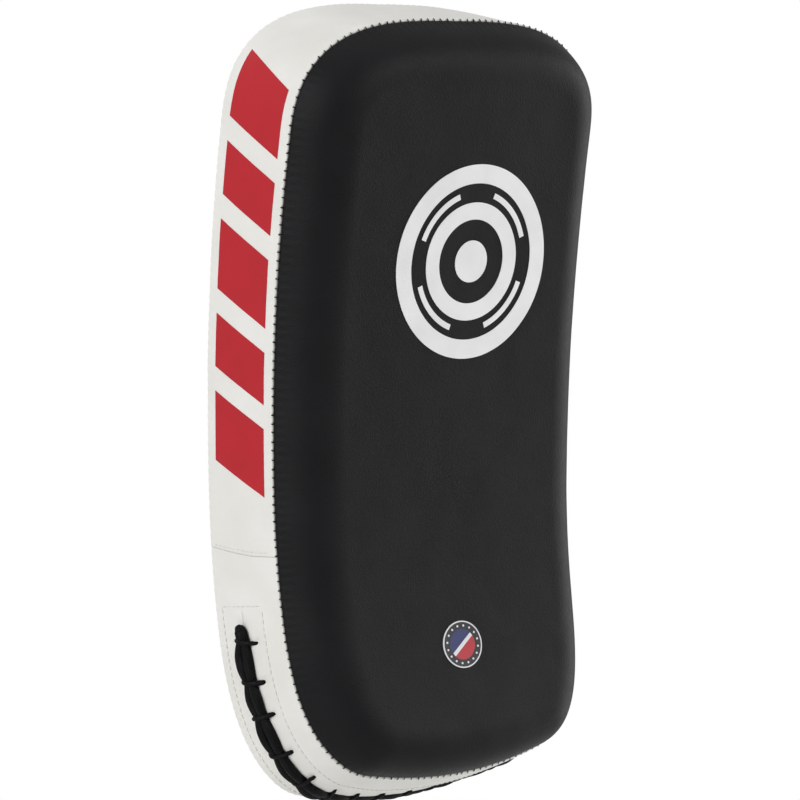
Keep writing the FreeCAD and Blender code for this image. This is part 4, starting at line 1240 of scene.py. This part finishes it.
def band_line():
    walk = Walk(-88, WEB_Y, 0)
    return walk.run(28).bend(10, 90).run(8.25).bend(HOOP_RADIUS, -180).bend(FOLD_RADIUS, 180).line()


def tab_line():
    return Walk(*TAB_ROOT, 90).bend(12, TAB_TURN).run(19.05).bend(TAB_RADIUS, 108 - TAB_TURN).line()


def anchor_line():
    walk = Walk(88, WEB_Y, 180)
    walk.run(32.75).bend(ANCHOR_FOLD, -180).bend(8, -49.9).bend(8, 49.9)
    return walk.run(88 - walk.points[-1][0]).line()


def arc_line(radius, first=98, last=30):
    t = np.radians(np.linspace(first, last, 60))
    return np.stack([radius * np.cos(t), HOOP_Y + radius * np.sin(t)], axis=1)


def finished(piece, slot, node=None, body="root"):
    """Gives a piece its body and hides the CAD node that it stands for. The slot is not used."""
    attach(piece, body)
    if node:
        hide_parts(node)


def put(name, parts, look, slot, body="root"):
    """A finished piece made of parts, in place of the CAD node of its name."""
    finished(many(name, parts, look), slot, name, body)


def sewn(name, parts, body="root"):
    finished(many(f"{name}_stitches", parts, GREY_THREAD), "strap_leather", None, body)


def strap_set(prefix, along):
    """One forearm strap: the band with its loop patch, the ring and its anchor, and the tab that closes it."""
    here = Station(along)
    line = band_line()
    strap = strip(here, line, BAND_WIDTH, BAND_THICK, crown=0.5)
    put(f"{prefix}_strap_band", [strap], STRAP_LEATHER, "strap_leather")
    outer = strip_threads(here, line, 16.8)
    inner = strip_threads(here, line, 16.8, side=-1, start=40, end=24)
    sewn(f"{prefix}_strap", outer + inner)
    radius, *size = LOOP_PATCH
    put(f"{prefix}_loop_patch", [strip(here, arc_line(radius), *size)], LOOP_PILE, "loop_pile")

    line = anchor_line()
    anchor = strip(here, line, ANCHOR_WIDTH, BAND_THICK)
    put(f"{prefix}_ring_anchor", [anchor], STRAP_LEATHER, "strap_leather")
    parts = strip_threads(here, line, 16.5, side=-1, start=62)
    for x in (68.5, 86.0):
        parts += flat_threads(here, (x, x), 5.7, (-15.5, 15.5), 20, 3.0)
    sewn(f"{prefix}_anchor", parts)
    put(f"{prefix}_ring", [ring(here)], STEEL, "steel", f"{prefix}_ring")

    line = tab_line()
    tab = strip(here, line, TAB_WIDTH, BAND_THICK, crown=0.4, round_ends=12)
    tab = many(f"{prefix}_strap_tab", [tab], STRAP_LEATHER)
    low, high = here.at(60.5, 20.5) * MM, here.at(50.6, 45.0) * MM
    tuple(low)
    tuple(high)
    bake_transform(tab)
    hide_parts(f"{prefix}_strap_tab")
    body = f"{prefix}_tab"
    parts = strip_threads(here, line, 14.6, side=-1, start=34, end=12, offset=BAND_THICK / 2 + 0.12)
    sewn(body, parts, body)
    radius, *size = HOOK_PATCH
    put(f"{prefix}_hook_patch", [strip(here, arc_line(radius), *size)], HOOK_TAPE, "hook_tape", body)


def ring(here):
    """The rectangular wire ring, butt-welded in the middle of one bar."""
    corner, half, wire = 4.0, 22.75, 1.75
    low, high, x = 5.8, 19.8, 55.25
    path = []
    for y, z, first in ((high - corner, half - corner, 0), (low + corner, half - corner, 90),
                        (low + corner, corner - half, 180), (high - corner, corner - half, 270)):
        for a in np.radians(np.linspace(first, first + 90, 9)):
            path.append((y + corner * math.cos(a), z + corner * math.sin(a)))
    points = here.at(x, *np.array(path).T)
    dense = []
    for a, b in zip(points, np.roll(points, -1, axis=0)):
        count = max(1, int(np.linalg.norm(b - a) / 1.5))
        dense += [a + (b - a) * t for t in np.arange(count) / count]
    swell = 1 + 0.1 * np.exp(-(np.linalg.norm(dense - here.at(x, low), axis=1) / 1.6) ** 2)
    return sweep(dense, tapered(wire * swell, 14), closed=True)


def rivets(name, stations, across, spread, seat):
    """Domed tubular rivets: a pair at each place, their heads at this height over the back face."""
    dome = [(0.02, 2.05), (1.2, 2.0), (2.3, 1.78), (3.3, 1.32), (4.05, 0.75), (4.4, 0.3), (4.5, 0.0),
            (4.45, -0.12), (2.05, -0.15), (2.0, -2.0), (2.0, -6.0), (0.02, -6.0)]
    parts = []
    for here in map(Station, stations):
        parts += [lathe(dome, here.at(x, seat, z), here.outward, 28) for x in across for z in (-spread, spread)]
    put(name, parts, STEEL, "steel")


GRIP_ALONG, GRIP_Y, GRIP_RADIUS, GRIP_HALF = 172.0, 34.0, 14.0, 46.0


def grip_line():
    half, middle, turn, slope = 90, 94.5, 8, 75
    sine, cosine = math.sin(math.radians(slope)), math.cos(math.radians(slope))
    climb = (GRIP_Y - WEB_Y - 2 * turn * (1 - cosine)) / sine
    run = half - middle / 2 - 2 * turn * sine - climb * cosine
    walk = Walk(-half, WEB_Y, 0).run(run).bend(turn, slope).run(climb).bend(turn, -slope).run(middle)
    return walk.bend(turn, -slope).run(climb).bend(turn, slope).run(run).line()


def grip_sleeve():
    """A padded tube sewn round the webbing, gathered at both ends, with its seam towards the pad."""
    here = Station(GRIP_ALONG)
    mouth = np.array([1.2, 0.6, 0.2, 0.0, 0.0, 0.3, 0.9, 2, 3.5, 5, 7])
    x = np.r_[mouth - GRIP_HALF, np.linspace(-37, 37, 60), GRIP_HALF - mouth[::-1]]
    t = circle(72)
    end = GRIP_HALF - np.abs(x)
    mouth_radius = GRIP_RADIUS * np.array([0.18, 0.4, 0.58, 0.70, 0.78, 0.84, 0.90, 0.95, 0.98, 1, 1])
    radius = np.r_[mouth_radius, np.full(60, GRIP_RADIUS), mouth_radius[::-1]]
    rows = []
    for index, (across, size) in enumerate(zip(x, radius)):
        gathers = 0.5 * np.cos(14 * t + 0.6 * np.sin(3 * t)) * math.exp(-end[index] / 5) * (size / GRIP_RADIUS)
        fold = 0.5 * noise_at(np.stack(arrays(across, size * np.cos(t), size * np.sin(t)), axis=1), 22.0, 4.0)
        seam = -0.9 * np.exp(-((np.mod(t - 1.5 * math.pi + math.pi, 2 * math.pi) - math.pi) / 0.07) ** 2)
        r = size + gathers + fold + seam
        rows.append(here.at(across, GRIP_Y + r * np.sin(t), r * np.cos(t)))
    piece = make_piece("grip_sleeve", np.stack(rows), grid_faces(len(rows), 72, wrap=True), STRAP_LEATHER)
    finished(leather_sheet(piece, 1.3, centre=here.at(0, GRIP_Y)), "black_leather", "grip_sleeve")
    core = [(0.02, -42), (10.4, -42), (12.0, -40), (12.2, 40), (10.4, 42), (0.02, 42)]
    put("grip_foam", [lathe(core, here.at(0, GRIP_Y), (1, 0, 0), 40)], SOFT_FOAM, "soft_foam")
    parts = []
    t = np.linspace(0, 2 * math.pi, 120)
    outward = here.way(0, np.sin(t), np.cos(t))
    for across in (6.5 - GRIP_HALF, GRIP_HALF - 6.5):
        path = here.at(across, GRIP_Y) + (GRIP_RADIUS + 0.35) * outward
        parts += stitches(path, outward, 3.0, 1.2, 0.34, sink=0.8)
    sewn("grip", parts)


def grip():
    """The grip's webbing, its sleeve and the two leather patches that it is riveted through."""
    here = Station(GRIP_ALONG)
    put("grip_webbing", [strip(here, grip_line(), 22, 2.5)], WEBBING, "webbing")
    grip_sleeve()
    half_x, half_z, corner = 11, 18, 3.0
    x, z = np.meshgrid(np.linspace(-half_x, half_x, 24), np.linspace(-half_z, half_z, 40))
    past_x, past_z = np.abs(x) - half_x + corner, np.abs(z) - half_z + corner
    over = np.hypot(np.clip(past_x, 0, None), np.clip(past_z, 0, None))
    pull = np.where(over > corner, corner / np.maximum(over, 1e-6), 1.0)
    x = np.where(past_x > 0, np.sign(x) * (half_x - corner + past_x * pull), x)
    z = np.where(past_z > 0, np.sign(z) * (half_z - corner + past_z * pull), z)
    for middle, label in ((-80, "left"), (80, "right")):

        def place(x, z, lift, middle=middle):
            edge = np.minimum(half_x - np.abs(x), half_z - np.abs(z))
            fall = 0.5 * np.exp(-np.clip(edge, 0, None) / 0.7)
            return here.at(middle + x, np.where(lift > 0, 4.65 - fall, 3.1), z)
        patch = many(f"grip_patch_{label}", [layer_part(place, x, z, 1.0)], STRAP_LEATHER)
        clean(patch)
        facing_out(patch, here.at(middle, 0))
        finished(patch, "black_leather", f"grip_patch_{label}")
        parts = []
        for row in (-15.5, 15.5):
            parts += flat_threads(here, (middle - 8.5, middle + 8.5), 4.6, (row, row), 20, 2.6, 1.0, 0.3)
        for row in (middle - 8.7, middle + 8.7):
            parts += flat_threads(here, (row, row), 4.6, (-15.5, 15.5), 30, 2.6, 1.0, 0.3)
        sewn(f"grip_patch_{label}", parts)


# ---- the whole pad ----

def build_cover():
    finished(front_cover(), "black_leather", "front_cover")
    finished(back_cover(), "back_leather", "back_cover")
    for name, depths, look, slot in FOAMS:
        finished(foam_layer(name, *depths, look), slot, name)
    for name, start, end in (("side_band_upper", JOINT_S, PLAN.length - JOINT_S),
                             ("side_band_lower", -JOINT_S, JOINT_S)):
        finished(side_band(name, start, end), "white_leather", name)
    black, white = seam_threads()
    finished(black, "black_lace")
    finished(white, "white_leather")
    finished(facing(), "facing_leather", "lacing_facing")
    finished(lace(), "black_lace", "closure_lace")
    finished(target_print(), "white_print", "target_print")
    finished(round_badge(), "badge_print", "round_badge")
    for name, left in (("side_stripe_left", True), ("side_stripe_right", False)):
        finished(side_stripe(name, left), "red_print", name)


def build_back():
    cushion, filling = forearm_cushion()
    finished(cushion, "back_leather", "forearm_cushion_cover")
    finished(filling, "soft_foam", "forearm_cushion_foam")
    finished(cushion_threads(), "back_leather")
    for prefix, along in zip(("upper", "lower"), STRAPS):
        strap_set(prefix, along)
    grip()
    rivets("strap_rivets", STRAPS, (-78,), 10, 2.8)
    rivets("anchor_rivets", STRAPS, (78,), 10, 5.6)
    rivets("grip_rivets", (GRIP_ALONG,), (-80, 80), 6, 4.6)


def dress_hidden():
    """Finishes for the pieces inside, which keep their CAD shapes."""
    for node, look in (("back_board", BOARD), ("rivet_washers", STEEL)):
        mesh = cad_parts[node].data
        mesh.materials.clear()
        mesh.materials.append(look)


SURROUND = 0.46                      # light of the white surround
FLOOR_RADIUS, FLOOR_Z = 700, -320
LAMPS = (
    # name, place, what it points at, width and height, power
    ("key", (-1.75, -0.15, 0.65), (0, 0, 0.02), (0.9, 1.4), 18),
    ("front", (1.1, -1.9, 0.8), (0, 0, 0.02), (1.1, 1.3), 15),
    ("top", (-0.1, -0.2, 1.6), (0, 0, 0.1), (1.4, 0.9), 2.0),
    ("rim", (1.4, -0.3, 0.05), (0, 0, 0.0), (0.5, 1.3), 7.5),
    ("back", (0.6, 1.8, 0.8), (0, 0, 0.05), (1.4, 1.4), 14),
)
CAMERA_PLACE = (-1.26367, -1.34068, 0.18246)
CAMERA_AIM = (0.02432, -0.02049, 0.03864)
CAMERA_ROLL = 0.458                  # degrees
CAMERA_LENS = 164.0


def studio():
    """A pale floor, a white surround and soft lights."""
    profile = [(0.01, 0), (FLOOR_RADIUS, 0), (FLOOR_RADIUS, -5), (0.01, -5)]
    disc = lathe(profile, (0, 0, FLOOR_Z), (0, 0, 1), 96)
    floor = many("floor", [disc], Look("floor", (0.8, 0.8, 0.79), 0.9, 0.1).material)
    world = bpy.data.worlds.new("surround")
    bpy.context.scene.world = world
    world.use_nodes = True
    tree = world.node_tree
    seen, lit = tree.nodes["Background"], tree.nodes.new("ShaderNodeBackground")
    for node, strength in ((seen, 1.0), (lit, SURROUND)):
        node.inputs["Color"].default_value = (1, 1, 1, 1)
        node.inputs["Strength"].default_value = strength
    path, mix = tree.nodes.new("ShaderNodeLightPath"), tree.nodes.new("ShaderNodeMixShader")
    tree.links.new(path.outputs["Is Camera Ray"], mix.inputs[0])
    tree.links.new(lit.outputs[0], mix.inputs[1])
    tree.links.new(seen.outputs[0], mix.inputs[2])
    tree.links.new(mix.outputs[0], tree.nodes["World Output"].inputs["Surface"])
    for name, place, aim, size, power in LAMPS:
        data = bpy.data.lights.new(name, "AREA")
        data.shape = "RECTANGLE"
        data.size, data.size_y = size
        data.energy = power
        lamp = bpy.data.objects.new(name, data)
        lamp.location = place
        lamp.rotation_euler = (Vector(aim) - Vector(place)).to_track_quat("-Z", "Y").to_euler()
        lamp.visible_camera = False
        bpy.context.scene.collection.objects.link(lamp)


def camera():
    """The camera, turned a little about its axis."""
    data = bpy.data.cameras.new("camera")
    data.lens = CAMERA_LENS
    data.sensor_width = 36
    data.clip_end = 50
    shot = bpy.data.objects.new("camera", data)
    away = (Vector(CAMERA_PLACE) - Vector(CAMERA_AIM)).normalized()
    level = Vector((0, 0, 1)).cross(away).normalized()
    above = away.cross(level)
    roll = math.radians(CAMERA_ROLL)
    up = above * math.cos(roll) + level * math.sin(roll)
    right = up.cross(away)
    shot.matrix_world = Matrix((
        (right.x, up.x, away.x, CAMERA_PLACE[0]),
        (right.y, up.y, away.y, CAMERA_PLACE[1]),
        (right.z, up.z, away.z, CAMERA_PLACE[2]),
        (0, 0, 0, 1),
    ))
    bpy.context.scene.collection.objects.link(shot)
    bpy.context.scene.camera = shot


build_cover()
build_back()
dress_hidden()
studio()
camera()
bpy.context.scene.view_settings.view_transform = "Standard"
